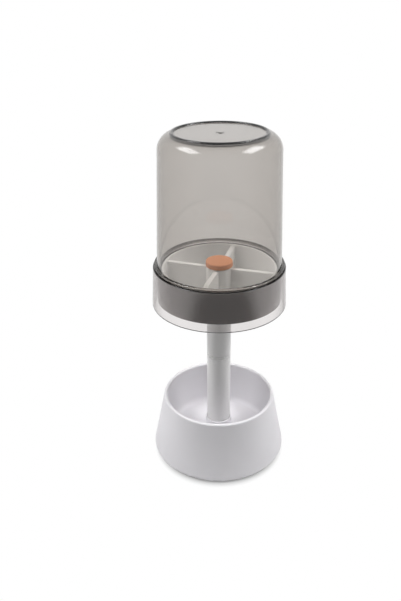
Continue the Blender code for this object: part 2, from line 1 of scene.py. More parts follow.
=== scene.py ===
"""Looks of a covered toothbrush holder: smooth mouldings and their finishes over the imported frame.

The holder stands on the plane Z = 0 with its axis on Z, and sizes are in metres. Almost every
piece is an outline of (radius, height) points carried once round the axis. The insert's four walls
are carried along straight lines instead, and are united with the turned parts.
"""

from __future__ import annotations

import logging
import math
from dataclasses import dataclass
from enum import Enum
from functools import reduce
from typing import Callable, Iterator, Sequence, Union

import bmesh
import bpy
import numpy as np
from mathutils import Matrix, Vector

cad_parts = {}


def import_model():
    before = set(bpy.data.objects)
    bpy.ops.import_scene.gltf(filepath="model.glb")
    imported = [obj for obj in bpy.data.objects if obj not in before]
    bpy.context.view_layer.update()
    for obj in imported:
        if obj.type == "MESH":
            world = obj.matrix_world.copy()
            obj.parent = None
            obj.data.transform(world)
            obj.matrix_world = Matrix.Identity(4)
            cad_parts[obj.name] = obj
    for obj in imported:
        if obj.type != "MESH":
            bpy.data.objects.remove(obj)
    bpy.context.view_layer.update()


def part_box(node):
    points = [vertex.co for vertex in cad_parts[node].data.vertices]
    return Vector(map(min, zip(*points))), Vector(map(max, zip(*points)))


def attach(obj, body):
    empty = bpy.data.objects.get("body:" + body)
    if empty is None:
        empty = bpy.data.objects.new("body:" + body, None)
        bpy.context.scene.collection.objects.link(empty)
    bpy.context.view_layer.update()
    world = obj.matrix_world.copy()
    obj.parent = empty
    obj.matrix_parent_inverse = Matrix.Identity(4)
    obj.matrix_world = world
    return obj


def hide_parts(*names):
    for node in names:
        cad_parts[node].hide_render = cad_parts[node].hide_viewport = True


LOG = logging.getLogger("toothbrush_holder")

MM = 0.001
TAU = 2.0 * math.pi

# Fits and facets that all pieces share
SEAT_GAP = 0.3 * MM
WELD_DISTANCE = 0.0005 * MM
ON_SURFACE = 10.0 * WELD_DISTANCE
SUPPORT_EDGE = 0.15 * MM
SUPPORT_SHARE = 0.4
LONG_EDGE = 1.2 * MM
NO_LENGTH = 1e-12
FILLET_STEPS = 8
SHOULDER_STEPS = 28
LARGE_SEGMENTS = 192
SMALL_SEGMENTS = 96
THREAD_SEGMENTS = 72
SHARP_ANGLE = math.radians(38.0)

Array = np.ndarray
Piece = bpy.types.Object
Node = bpy.types.Node
Socket = bpy.types.NodeSocket
Colour = tuple[float, float, float]
Shape = Callable[[Array, Array, Array], tuple[Array, Array]]


class Body(Enum):
    """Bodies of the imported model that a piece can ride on."""

    STAND = "stand"
    STUD = "stud"
    KNOB = "knob"
    COVER = "cover"


class Slot(Enum):
    """Material slots of the record."""

    WHITE_MATTE = "white_matte"
    WHITE_SATIN = "white_satin"
    DARK_GREY = "dark_grey"
    SMOKE_CLEAR = "smoke_clear"
    CLEAR = "clear"
    TERRACOTTA = "terracotta"
    GREY_RUBBER = "grey_rubber"
    STEEL = "steel"
    BRASS = "brass"


# Outlines


def corners(*rows: tuple[float, ...]) -> Array:
    """Outline rows of radius, height and fillet, where a sharp corner leaves its fillet out."""
    return np.array([(*row, 0.0)[:3] for row in rows], float)


def arc_rows(centre: tuple[float, float], radius: float, start: float, end: float) -> Array:
    """Outline rows along an arc: centre + radius * (cos t, sin t), with t evenly spaced.

    Args:
        centre: Radius and height of the arc's centre.
        radius: The arc's own radius.
        start: First angle in radians, measured from the outward direction towards up.
        end: Last angle in radians.

    Returns:
        Rows of radius, height and a fillet of zero.
    """
    angle = np.linspace(start, end, SHOULDER_STEPS + 1)
    radii = centre[0] + radius * np.cos(angle)
    heights = centre[1] + radius * np.sin(angle)
    return np.column_stack([radii, heights, np.zeros_like(angle)])


def run_rows(start: tuple[float, float], end: tuple[float, float], steps: int) -> Array:
    """Outline rows evenly spaced on a straight line: start * (1 - s) + end * s.

    Args:
        start: Radius and height of the first row.
        end: Radius and height of the last row.
        steps: Number of pieces that the line is cut into.

    Returns:
        Rows of radius, height and a fillet of zero.
    """
    share = np.linspace(0.0, 1.0, steps + 1)[:, None]
    line = np.array(start) * (1.0 - share) + np.array(end) * share
    return np.hstack([line, np.zeros_like(share)])


def closed_outline(*parts: Array) -> Array:
    """Closed outline whose filleted corners are tangent arcs.

    With unit vectors u and v from a corner to its neighbours and half their angle h, the arc of
    fillet f touches the edges f / tan(h) away from the corner, and its centre lies f / sin(h)
    along u + v. A long edge also gets a point just inside each of its ends, which keeps smooth
    shading off the flat stretch.

    Args:
        parts: Rows of radius, height and fillet, in order round the outline.

    Returns:
        Points (radius, height), with no two neighbours alike.
    """
    rows = np.vstack(parts)
    place, fillet = rows[:, :2], rows[:, 2]
    edges = np.stack([np.roll(place, 1, axis=0), np.roll(place, -1, axis=0)]) - place
    length = np.linalg.norm(edges, axis=-1)
    u, v = units = edges / length[..., None]
    half = 0.5 * np.arccos(np.clip(np.sum(u * v, axis=1), -1.0, 1.0))
    reach = fillet / np.tan(half)
    middle = u + v
    middle /= np.maximum(np.linalg.norm(middle, axis=1), NO_LENGTH)[:, None]
    centre = place + middle * (fillet / np.sin(half))[:, None]
    first, last = place + units * reach[:, None] - centre
    cross = first[:, 0] * last[:, 1] - first[:, 1] * last[:, 0]
    turn = np.arctan2(cross, np.sum(first * last, axis=1))
    angle = turn[:, None] * np.linspace(0.0, 1.0, FILLET_STEPS + 1)
    cosine, sine = np.cos(angle), np.sin(angle)
    arc_r = centre[:, :1] + first[:, :1] * cosine - first[:, 1:] * sine
    arc_z = centre[:, 1:] + first[:, :1] * sine + first[:, 1:] * cosine
    arcs = np.stack([arc_r, arc_z], axis=-1)
    room = length - reach - np.stack([np.roll(reach, 1), np.roll(reach, -1)])
    wanted = (fillet > 0.0) | (room > LONG_EDGE)
    support = reach + np.where(wanted, np.clip(SUPPORT_SHARE * room, 0.0, SUPPORT_EDGE), 0.0)
    before, after = place + units * support[..., None]
    points = np.concatenate([before[:, None], arcs, after[:, None]], axis=1).reshape(-1, 2)
    step = np.linalg.norm(points - np.roll(points, 1, axis=0), axis=1)
    return points[step > WELD_DISTANCE]


# Meshes


def linked(name: str, data: bpy.types.ID) -> Piece:
    """Object with this data, linked to the scene at the origin.

    Args:
        name: Name of the object.
        data: Its mesh, lamp or camera.

    Returns:
        The object.
    """
    made = bpy.data.objects.new(name, data)
    bpy.context.scene.collection.objects.link(made)
    return made


def grid_faces(rings: int, length: int, wrap: bool = True) -> Array:
    """Four-sided faces of a grid of points, where point (i, j) has the index i * length + j.

    Args:
        rings: Number of rows i.
        length: Number of points j in a row, whose last point is joined to its first.
        wrap: Whether the last row is joined to the first.

    Returns:
        Index rows of shape (faces, 4).
    """
    i = np.arange(rings if wrap else rings - 1)[:, None]
    j = np.arange(length)[None, :]
    next_i, next_j = (i + 1) % rings, (j + 1) % length
    faces = np.stack(np.broadcast_arrays(
        i * length + j, next_i * length + j, next_i * length + next_j, i * length + next_j,
    ), axis=-1)
    return faces.reshape(-1, 4)


def solid(name: str, points: Array, faces: Sequence[Sequence[int]]) -> Piece:
    """Closed solid with doubles merged, faces outwards, and smooth with its sharp edges kept.

    Args:
        name: Name of the object.
        points: Points of shape (n, 3).
        faces: Index lists of the faces.

    Returns:
        The object.
    """
    mesh = bpy.data.meshes.new(name)
    mesh.from_pydata(points.tolist(), [], [list(face) for face in faces])
    bm = bmesh.new()
    bm.from_mesh(mesh)
    bmesh.ops.remove_doubles(bm, verts=bm.verts, dist=WELD_DISTANCE)
    loose = [vert for vert in bm.verts if not vert.link_faces]
    bmesh.ops.delete(bm, geom=loose, context="VERTS")
    bmesh.ops.recalc_face_normals(bm, faces=bm.faces)
    bm.to_mesh(mesh)
    bm.free()
    mesh.shade_smooth()
    mesh.set_sharp_from_angle(angle=SHARP_ANGLE)
    return linked(name, mesh)


def turned(
    name: str, *parts: Array, segments: int = LARGE_SEGMENTS, shapes: Sequence[Shape] = ()
) -> Piece:
    """Solid of revolution: the point at angle a and outline point (r, z) is (r cos a, r sin a, z).

    Args:
        name: Name of the object.
        parts: Rows of radius, height and fillet, in order round the outline.
        segments: Number of steps round the axis.
        shapes: Functions that change r and z over the grid, such as a thread.

    Returns:
        The finished object.
    """
    outline = closed_outline(*parts)
    angle = np.linspace(0.0, TAU, segments, endpoint=False)[:, None]
    radius, height = (np.tile(outline[:, column], (segments, 1)) for column in range(2))
    for shape in shapes:
        radius, height = shape(radius, height, angle)
    points = np.stack([radius * np.cos(angle), radius * np.sin(angle), height], axis=-1)
    on_axis = outline[:, 0] < WELD_DISTANCE
    skipped = np.tile(on_axis & np.roll(on_axis, -1), segments)
    return solid(name, points.reshape(-1, 3), grid_faces(segments, len(outline))[~skipped])


def united(whole: Piece, *parts: Piece) -> Piece:
    """Unite overlapping solids into the first one, with the joins' sharp edges kept.

    Args:
        whole: The first solid.
        parts: Solids that each overlap it, which go once they are part of it.

    Returns:
        The first object, whose mesh is now the union.
    """
    for part in parts:
        join = whole.modifiers.new(part.name, "BOOLEAN")
        join.operation = "UNION"
        join.solver = "EXACT"
        join.object = part
    graph = bpy.context.evaluated_depsgraph_get()
    graph.update()
    mesh = bpy.data.meshes.new_from_object(whole.evaluated_get(graph))
    whole.modifiers.clear()
    whole.data = mesh
    mesh.shade_smooth()
    mesh.set_sharp_from_angle(angle=SHARP_ANGLE)
    for part in parts:
        bpy.data.objects.remove(part, do_unlink=True)
    return whole


@dataclass(frozen=True)
class Cut:
    """Cut into a turned surface of one radius, whose depth each kind gives by height and angle."""

    radius: float
    pitch: float
    depth: float

    def __call__(self, radius: Array, height: Array, angle: Array) -> tuple[Array, Array]:
        """Radii and heights of the grid, cut where the outline runs at the cut's radius."""
        on_surface = np.abs(radius - self.radius) < ON_SURFACE
        return radius - np.where(on_surface, self.taken(height, angle), 0.0), height

    def taken(self, height: Array, angle: Array) -> Array:
        """Depth of the cut at each point."""
        raise NotImplementedError


@dataclass(frozen=True)
class Thread(Cut):
    """Screw thread between two heights. A negative depth raises it inside a bore."""

    low: float
    high: float

    def taken(self, height: Array, angle: Array) -> Array:
        """Depth of the thread: depth * |2 p - 1| with p the fraction of z / pitch - a / (2 pi).

        Args:
            height: Height z of each point.
            angle: Angle a of each point round the axis.

        Returns:
            The depth at each point, which runs out over one pitch at both ends.
        """
        phase = np.mod(height / self.pitch - angle / TAU, 1.0)
        run_in = np.clip((height - self.low) / self.pitch, 0.0, 1.0)
        run_out = np.clip((self.high - height) / self.pitch, 0.0, 1.0)
        return self.depth * np.abs(2.0 * phase - 1.0) * run_in * run_out


@dataclass(frozen=True)
class Knurl(Cut):
    """Diamond knurl with a count of ridges round the axis."""

    count: int

    def taken(self, height: Array, angle: Array) -> Array:
        """Depth * |sin(n a + k z) * sin(n a - k z)|, with n half the count and k pi / pitch."""
        rise, spin = math.pi * height / self.pitch, self.count * angle / 2.0
        return self.depth * np.abs(np.sin(spin + rise) * np.sin(spin - rise))


@dataclass(frozen=True)
class CrossRecess:
    """Cross-shaped driver recess, sunk upwards into a face that looks down.

    Its depth falls from the middle to the arms' ends, and its sides slope over a short width.
    """

    face: float
    arm: float
    width: float
    depth: float
    slope: float

    def __call__(self, radius: Array, height: Array, angle: Array) -> tuple[Array, Array]:
        """Raise the points of the face that lie inside the cross.

        Args:
            radius: Distance of each point from the axis.
            height: Height of each point.
            angle: Angle of each point round the axis.

        Returns:
            The radii and the new heights.
        """
        across = np.abs(radius * np.cos(angle))
        along = np.abs(radius * np.sin(angle))
        narrow = np.minimum(across, along)
        inside = np.clip((self.width / 2.0 - narrow) / self.slope, 0.0, 1.0)
        taper = np.clip((self.arm - radius) / self.arm, 0.0, 1.0) ** 0.5
        on_face = np.abs(height - self.face) < ON_SURFACE
        return radius, height + np.where(on_face, self.depth * inside * taper, 0.0)


# Shader maths


class Number:
    """Number socket that can be used in Python arithmetic: each operator adds a Math node."""

    def __init__(self, graph: Graph, socket: Socket) -> None:
        """Wrap a socket of a graph."""
        self.graph = graph
        self.socket = socket

    def _math(self, operation: str, *operands: Operand) -> Number:
        """Add a Math node with this operation and these operands."""
        inputs = dict(enumerate(operands))
        return self.graph.number("ShaderNodeMath", {"operation": operation}, inputs)

    def __add__(self, other: Operand) -> Number:
        """Sum."""
        return self._math("ADD", self, other)

    __radd__ = __add__

    def __sub__(self, other: Operand) -> Number:
        """Difference."""
        return self._math("SUBTRACT", self, other)

    def __rsub__(self, other: Operand) -> Number:
        """Difference from another value."""
        return self._math("SUBTRACT", other, self)

    def __mul__(self, other: Operand) -> Number:
        """Product."""
        return self._math("MULTIPLY", self, other)

    __rmul__ = __mul__

    def power(self, exponent: float) -> Number:
        """Power."""
        return self._math("POWER", self, exponent)

    def larger(self, other: Operand) -> Number:
        """The larger of two values."""
        return self._math("MAXIMUM", self, other)

    def above(self, other: Operand) -> Number:
        """1 where this value is above the other, else 0."""
        return self._math("GREATER_THAN", self, other)

    def step(self, low: float, high: float) -> Number:
        """Smooth change from 0 where this value is low to 1 where it is high."""
        settings = {"interpolation_type": "SMOOTHSTEP"}
        return self.graph.number("ShaderNodeMapRange", settings, {0: self, 1: low, 2: high})


Operand = Union[Number, float]
Tone = Union[Colour, Socket]


def hypotenuse(a: Number, b: Number) -> Number:
    """Distance across two lengths at right angles: sqrt(a * a + b * b)."""
    return (a * a + b * b).power(0.5)


def shaded(colour: Colour, factor: float) -> Colour:
    """Colour made darker or lighter by a factor."""
    return tuple(min(1.0, channel * factor) for channel in colour)


class Graph:
    """Node tree of a material, a lamp or the world, with one method that adds any node."""

    def __init__(self, owner: bpy.types.ID) -> None:
        """Give the owner an empty tree.

        Args:
            owner: Material, lamp or world.
        """
        owner.use_nodes = True
        self.tree = owner.node_tree
        self.tree.nodes.clear()

    def node(self, kind: str, settings: dict | None = None, inputs: dict | None = None) -> Node:
        """Add a node, apply its settings, then set or link its sockets.

        Args:
            kind: Blender's type name of the node.
            settings: Properties of the node.
            inputs: Values, colours, Numbers or sockets, by the name or index of the input.

        Returns:
            The node.
        """
        made = self.tree.nodes.new(kind)
        for name, value in (settings or {}).items():
            setattr(made, name, value)
        self.feed(made, inputs or {})
        return made

    def feed(self, made: Node, inputs: dict) -> None:
        """Set or link a node's sockets.

        Args:
            made: The node.
            inputs: Values, colours, Numbers or sockets, by the name or index of the input.
        """
        for key, value in inputs.items():
            if isinstance(value, Number):
                value = value.socket
            if isinstance(value, Socket):
                self.tree.links.new(value, made.inputs[key])
            elif isinstance(value, tuple):
                made.inputs[key].default_value = (*value, 1.0)
            else:
                made.inputs[key].default_value = value

    def number(self, kind: str, settings: dict | None = None, inputs: dict | None = None) -> Number:
        """Add a node and give its first output as a number."""
        return Number(self, self.node(kind, settings, inputs).outputs[0])

    def shader(self, kind: str, **inputs: object) -> Socket:
        """Add a shader node and give its output."""
        return self.node(kind, inputs=inputs).outputs[0]

    def mixed(self, share: Number, first: Socket, second: Socket) -> Socket:
        """Mix of two shaders by a share between 0 and 1."""
        return self.node("ShaderNodeMixShader", inputs={0: share, 1: first, 2: second}).outputs[0]

    def place(self) -> Socket:
        """Object coordinates, which are metres in the holder's frame."""
        return self.node("ShaderNodeTexCoord").outputs["Object"]

    def axes(self, vector: Socket | None = None) -> tuple[Number, ...]:
        """The three parts of a vector, or of the object coordinates, as numbers."""
        split = self.node("ShaderNodeSeparateXYZ", inputs={0: vector or self.place()})
        return tuple(Number(self, output) for output in split.outputs)

    def ray(self, *kinds: str) -> Number:
        """1 for a ray of one of these kinds, such as a camera ray, else 0."""
        outputs = self.node("ShaderNodeLightPath").outputs
        return reduce(Number.larger, (Number(self, outputs[f"Is {kind} Ray"]) for kind in kinds))

    def noise(self, size: float, detail: float, vector: Socket | None = None) -> Number:
        """Noise between 0 and 1 whose grain has about this size in metres."""
        inputs = {"Vector": vector or self.place(), "Scale": 1.0 / size, "Detail": detail}
        return self.number("ShaderNodeTexNoise", inputs=inputs)

    def blend(self, share: Number, first: Tone, second: Tone) -> Socket:
        """Mix of two colours, or of the outputs of other mixes, by a share between 0 and 1."""
        inputs = {0: share, 6: first, 7: second}
        return self.node("ShaderNodeMix", {"data_type": "RGBA"}, inputs).outputs[2]

    def relief(self, height: Number, depth: float) -> Socket:
        """Normal of a surface raised by height, from 0 to 1, times a depth in metres."""
        inputs = {"Height": height, "Distance": depth, "Strength": 1.0}
        return self.node("ShaderNodeBump", inputs=inputs).outputs["Normal"]


# Finishes


@dataclass(frozen=True)
class Finish:
    """Finish of a piece: the record's slot, a colour and a roughness."""

    slot: Slot
    colour: Colour
    roughness: float

    def material(self) -> bpy.types.Material:
        """Make the material, unless it is there already.

        Returns:
            The material of this finish.
        """
        name = f"{self.slot.value}_{round(100 * self.colour[0])}"
        known = bpy.data.materials.get(name)
        if known is not None:
            return known
        material = bpy.data.materials.new(name)
        graph = Graph(material)
        plain = {"Base Color": self.colour, "Roughness": self.roughness}
        shader = graph.node("ShaderNodeBsdfPrincipled", inputs=plain)
        graph.feed(shader, self.surface(graph))
        graph.node("ShaderNodeOutputMaterial", inputs=self.outlets(graph, shader.outputs[0]))
        return material

    def tone(self, graph: Graph, share: Number, low: float, high: float) -> Socket:
        """The finish's colour times a factor that goes from low to high with a share."""
        return graph.blend(share, shaded(self.colour, low), shaded(self.colour, high))

    def surface(self, graph: Graph) -> dict[str, object]:
        """Values and links of the shader's sockets."""
        raise NotImplementedError

    def outlets(self, graph: Graph, surface: Socket) -> dict[str, Socket]:
        """Links of the material's output, from the shader's own output."""
        return {"Surface": surface}


@dataclass(frozen=True)
class MouldedFinish(Finish):
    """Opaque moulded plastic: fine grain, faint flow marks and a little unevenness in gloss."""

    grain: float
    grain_depth: float
    mottle: float
    specular: float = 0.5
    coat: float = 0.0
    coat_index: float = 1.6
    coat_roughness: float = 0.1
    flow_size: float = 14.0 * MM
    wave_depth: float = 0.01 * MM
    rough_spread: float = 0.12

    def surface(self, graph: Graph) -> dict[str, object]:
        """Grain in the relief, flow marks in the colour and both in the roughness.

        Args:
            graph: Node tree of the material.

        Returns:
            Values and links of the shader's sockets.
        """
        fine = graph.noise(self.grain, detail=3.0)
        flow = graph.noise(self.flow_size, detail=2.0)
        share = self.wave_depth / (self.wave_depth + self.grain_depth)
        height = fine * (1.0 - share) + flow * share
        spread = self.rough_spread * self.roughness
        return {
            "Specular IOR Level": self.specular,
            "Coat Weight": self.coat,
            "Coat IOR": self.coat_index,
            "Coat Roughness": self.coat_roughness,
            "Base Color": self.tone(graph, flow, 1.0 - self.mottle, 1.0 + self.mottle),
            "Roughness": (fine + flow - 1.0) * spread + self.roughness,
            "Normal": graph.relief(height, self.grain_depth + self.wave_depth),
        }


@dataclass(frozen=True)
class ClearFinish(Finish):
    """See-through plastic: it bends light, and its body takes light away along the path.

    The faces carry painted shade in their colour: a dark line, as the edge of a thick rim shows,
    in two places: further from the axis than the edge's start and below the edge's top, and above
    the crest's foot between the crest's two radii. Where the surface turns away from the eye, a
    painted side shade takes more light.
    """

    absorption: Colour
    wall: float
    index: float = 1.49
    edge_start: float = 1.0
    edge_top: float = 1.0
    crest_foot: float = 1.0
    crest_inner: float = 0.0
    crest_outer: float = 1.0
    edge_width: float = 0.3 * MM
    painted_edge_shade: Colour = (0.02, 0.02, 0.02)
    side_shade: Colour = (1.0, 1.0, 1.0)
    side_start: float = 0.45
    side_end: float = 0.85
    wave_size: float = 22.0 * MM
    wave_depth: float = 0.004 * MM
    haze_size: float = 22.0 / 3.0 * MM
    density_factor: float = 1.5

    def surface(self, graph: Graph) -> dict[str, object]:
        """Shallow waves in the relief, haze in the roughness, painted edge and side shade in the
        colour.

        Args:
            graph: Node tree of the material.

        Returns:
            Values and links of the shader's sockets.
        """
        x, y, z = graph.axes()
        # Painted shade: a dark line beyond the edge's start below its top, and on the crest ring
        distance, width = hypotenuse(x, y), self.edge_width
        outside = distance.step(self.edge_start, self.edge_start + width)
        below = 1.0 - z.step(self.edge_top - width, self.edge_top)
        within = 1.0 - distance.step(self.crest_outer - width, self.crest_outer)
        beyond = distance.step(self.crest_inner, self.crest_inner + width)
        crest = z.step(self.crest_foot, self.crest_foot + width) * within * beyond
        edge = (outside * below).larger(crest)
        # Painted side shade: the colour darkens where the surface turns away from the eye
        facing = graph.node("ShaderNodeLayerWeight", inputs={"Blend": 0.5}).outputs["Facing"]
        aside = Number(graph, facing).step(self.side_start, self.side_end)
        clear = graph.blend(aside, self.colour, self.side_shade)
        return {
            "IOR": self.index,
            "Transmission Weight": 1.0,
            "Base Color": graph.blend(edge, clear, self.painted_edge_shade),
            "Roughness": graph.noise(self.haze_size, detail=2.0) * self.roughness,
            "Normal": graph.relief(graph.noise(self.wave_size, detail=1.0), self.wave_depth),
        }

    def outlets(self, graph: Graph, surface: Socket) -> dict[str, Socket]:
        """Straight passage for some light, and the absorption of the body.

        Light on its way from a lamp, or between dull surfaces, goes straight through. The two
        faces of a wall then give back what its body takes: each exp(absorption * wall / 2). The
        body takes density * (1 - colour) over a metre, so its colour is 1 - absorption / density.

        Args:
            graph: Node tree of the material.
            surface: The shader's own output.

        Returns:
            Links of the material's output.
        """
        given_back = tuple(math.exp(taken * self.wall / 2.0) for taken in self.absorption)
        straight = graph.shader("ShaderNodeBsdfTransparent", Color=given_back)
        density = self.density_factor * max(self.absorption)
        passed = tuple(1.0 - taken / density for taken in self.absorption)
        return {
            "Surface": graph.mixed(graph.ray("Shadow", "Diffuse"), surface, straight),
            "Volume": graph.shader("ShaderNodeVolumeAbsorption", Color=passed, Density=density),
        }


@dataclass(frozen=True)
class RubberFinish(Finish):
    """Moulded rubber: dull, with fine specks and a dusty bloom."""

    speck: float = 0.25 * MM
    speck_depth: float = 0.03 * MM
    speck_share: float = 0.4
    bloom: float = 7.5 * MM
    bloom_light: float = 1.6
    rough_spread: float = 0.15
    rough_start: float = -0.1

    def surface(self, graph: Graph) -> dict[str, object]:
        """Specks in the relief, bloom in the roughness and both in the colour.

        Args:
            graph: Node tree of the material.

        Returns:
            Values and links of the shader's sockets.
        """
        speck = graph.noise(self.speck, detail=2.0)
        bloom = graph.noise(self.bloom, detail=3.0)
        dust = bloom * (1.0 - self.speck_share) + speck * self.speck_share
        return {
            "Base Color": self.tone(graph, dust, 1.0, self.bloom_light),
            "Roughness": bloom * self.rough_spread + (self.roughness + self.rough_start),
            "Normal": graph.relief(speck, self.speck_depth),
        }


@dataclass(frozen=True)
class TurnedMetalFinish(Finish):
    """Metal with the tool's fine rings round the axis and faint staining."""

    ring: float = 0.12 * MM
    ring_depth: float = 0.01 * MM
    stain: float = 0.12
    stain_size: float = 2.5 * MM
    ring_spread: float = 0.15
    stain_spread: float = 0.1
    rough_start: float = -0.12

    def surface(self, graph: Graph) -> dict[str, object]:
        """Rings from noise on distance from the axis and height, and stains in the colour.

        Args:
            graph: Node tree of the material.

        Returns:
            Values and links of the shader's sockets.
        """
        x, y, z = graph.axes()
        along = graph.node("ShaderNodeCombineXYZ", inputs={0: hypotenuse(x, y), 1: z}).outputs[0]
        rings = graph.noise(self.ring, detail=2.0, vector=along)
        stain = graph.noise(self.stain_size, detail=3.0)
        uneven = rings * self.ring_spread + stain * self.stain_spread
        return {
            "Metallic": 1.0,
            "Base Color": self.tone(graph, stain, 1.0 - self.stain, 1.0 + self.stain),
            "Roughness": uneven + (self.roughness + self.rough_start),
            "Normal": graph.relief(rings, self.ring_depth),
        }


WHITE_MATTE = MouldedFinish(
    Slot.WHITE_MATTE, (0.775, 0.762, 0.788), 0.58,
    grain=0.35 * MM, grain_depth=0.012 * MM, mottle=0.006, specular=0.35,
)
WHITE_SATIN = MouldedFinish(
    Slot.WHITE_SATIN, (0.82, 0.815, 0.81), 0.38,
    grain=0.22 * MM, grain_depth=0.004 * MM, mottle=0.006,
)
INSERT_WHITE = MouldedFinish(
    Slot.WHITE_SATIN, (0.85, 0.845, 0.83), 0.42,
    grain=0.22 * MM, grain_depth=0.004 * MM, mottle=0.006,
)
DARK_GREY = MouldedFinish(
    Slot.DARK_GREY, (0.064, 0.051, 0.042), 0.22,
    grain=0.30 * MM, grain_depth=0.001 * MM, mottle=0.05, specular=1.0, coat=1.0, coat_index=1.95,
)
TERRACOTTA = MouldedFinish(
    Slot.TERRACOTTA, (0.66, 0.295, 0.155), 0.50,
    grain=0.25 * MM, grain_depth=0.010 * MM, mottle=0.02,
)
# The smoky and clear finishes lay painted edge shade on the cup's flange edge and foot ring, and on
# the collar's top edge
SMOKE = ClearFinish(
    Slot.SMOKE_CLEAR, (1.0, 1.0, 1.0), 0.03, absorption=(205.0, 222.0, 239.0), wall=1.8 * MM,
    edge_start=42.0 * MM, edge_top=147.9 * MM, crest_foot=232.9 * MM, crest_inner=27.0 * MM,
    crest_outer=29.6 * MM, side_shade=(0.90, 0.90, 0.90),
)
CLEAR = ClearFinish(
    Slot.CLEAR, (1.0, 1.0, 1.0), 0.03, absorption=(98.0, 112.0, 115.0), wall=2.0 * MM,
    crest_foot=146.0 * MM, crest_inner=43.0 * MM, side_shade=(0.38, 0.38, 0.38),
)
GREY_RUBBER = RubberFinish(Slot.GREY_RUBBER, (0.085, 0.085, 0.085), 0.88)
STEEL = TurnedMetalFinish(Slot.STEEL, (0.60, 0.60, 0.62), 0.32)
BRASS = TurnedMetalFinish(Slot.BRASS, (0.78, 0.58, 0.27), 0.34)


# Pieces and sub-assemblies


def span(node: str) -> tuple[float, float]:
    """Heights of the lowest and the highest point of a solid of the frame."""
    low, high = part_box(node)
    return low.z, high.z


def bottom_of(node: str) -> float:
    """Height of the lowest point of a solid of the frame."""
    return span(node)[0]


def top_of(node: str) -> float:
    """Height of the highest point of a solid of the frame."""
    return span(node)[1]


def dress(piece: Piece, node: str, body: Body, finish: Finish) -> Piece:
    """Give a piece its finish and let it stand for a solid of the frame.

    Args:
        piece: The piece, in its place.
        node: Name of the solid that it stands for.
        body: Body that it moves with.
        finish: Its finish.

    Returns:
        The piece.
    """
    piece.data.materials.clear()
    piece.data.materials.append(finish.material())
    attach(piece, body.value)
    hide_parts(node)
    return piece


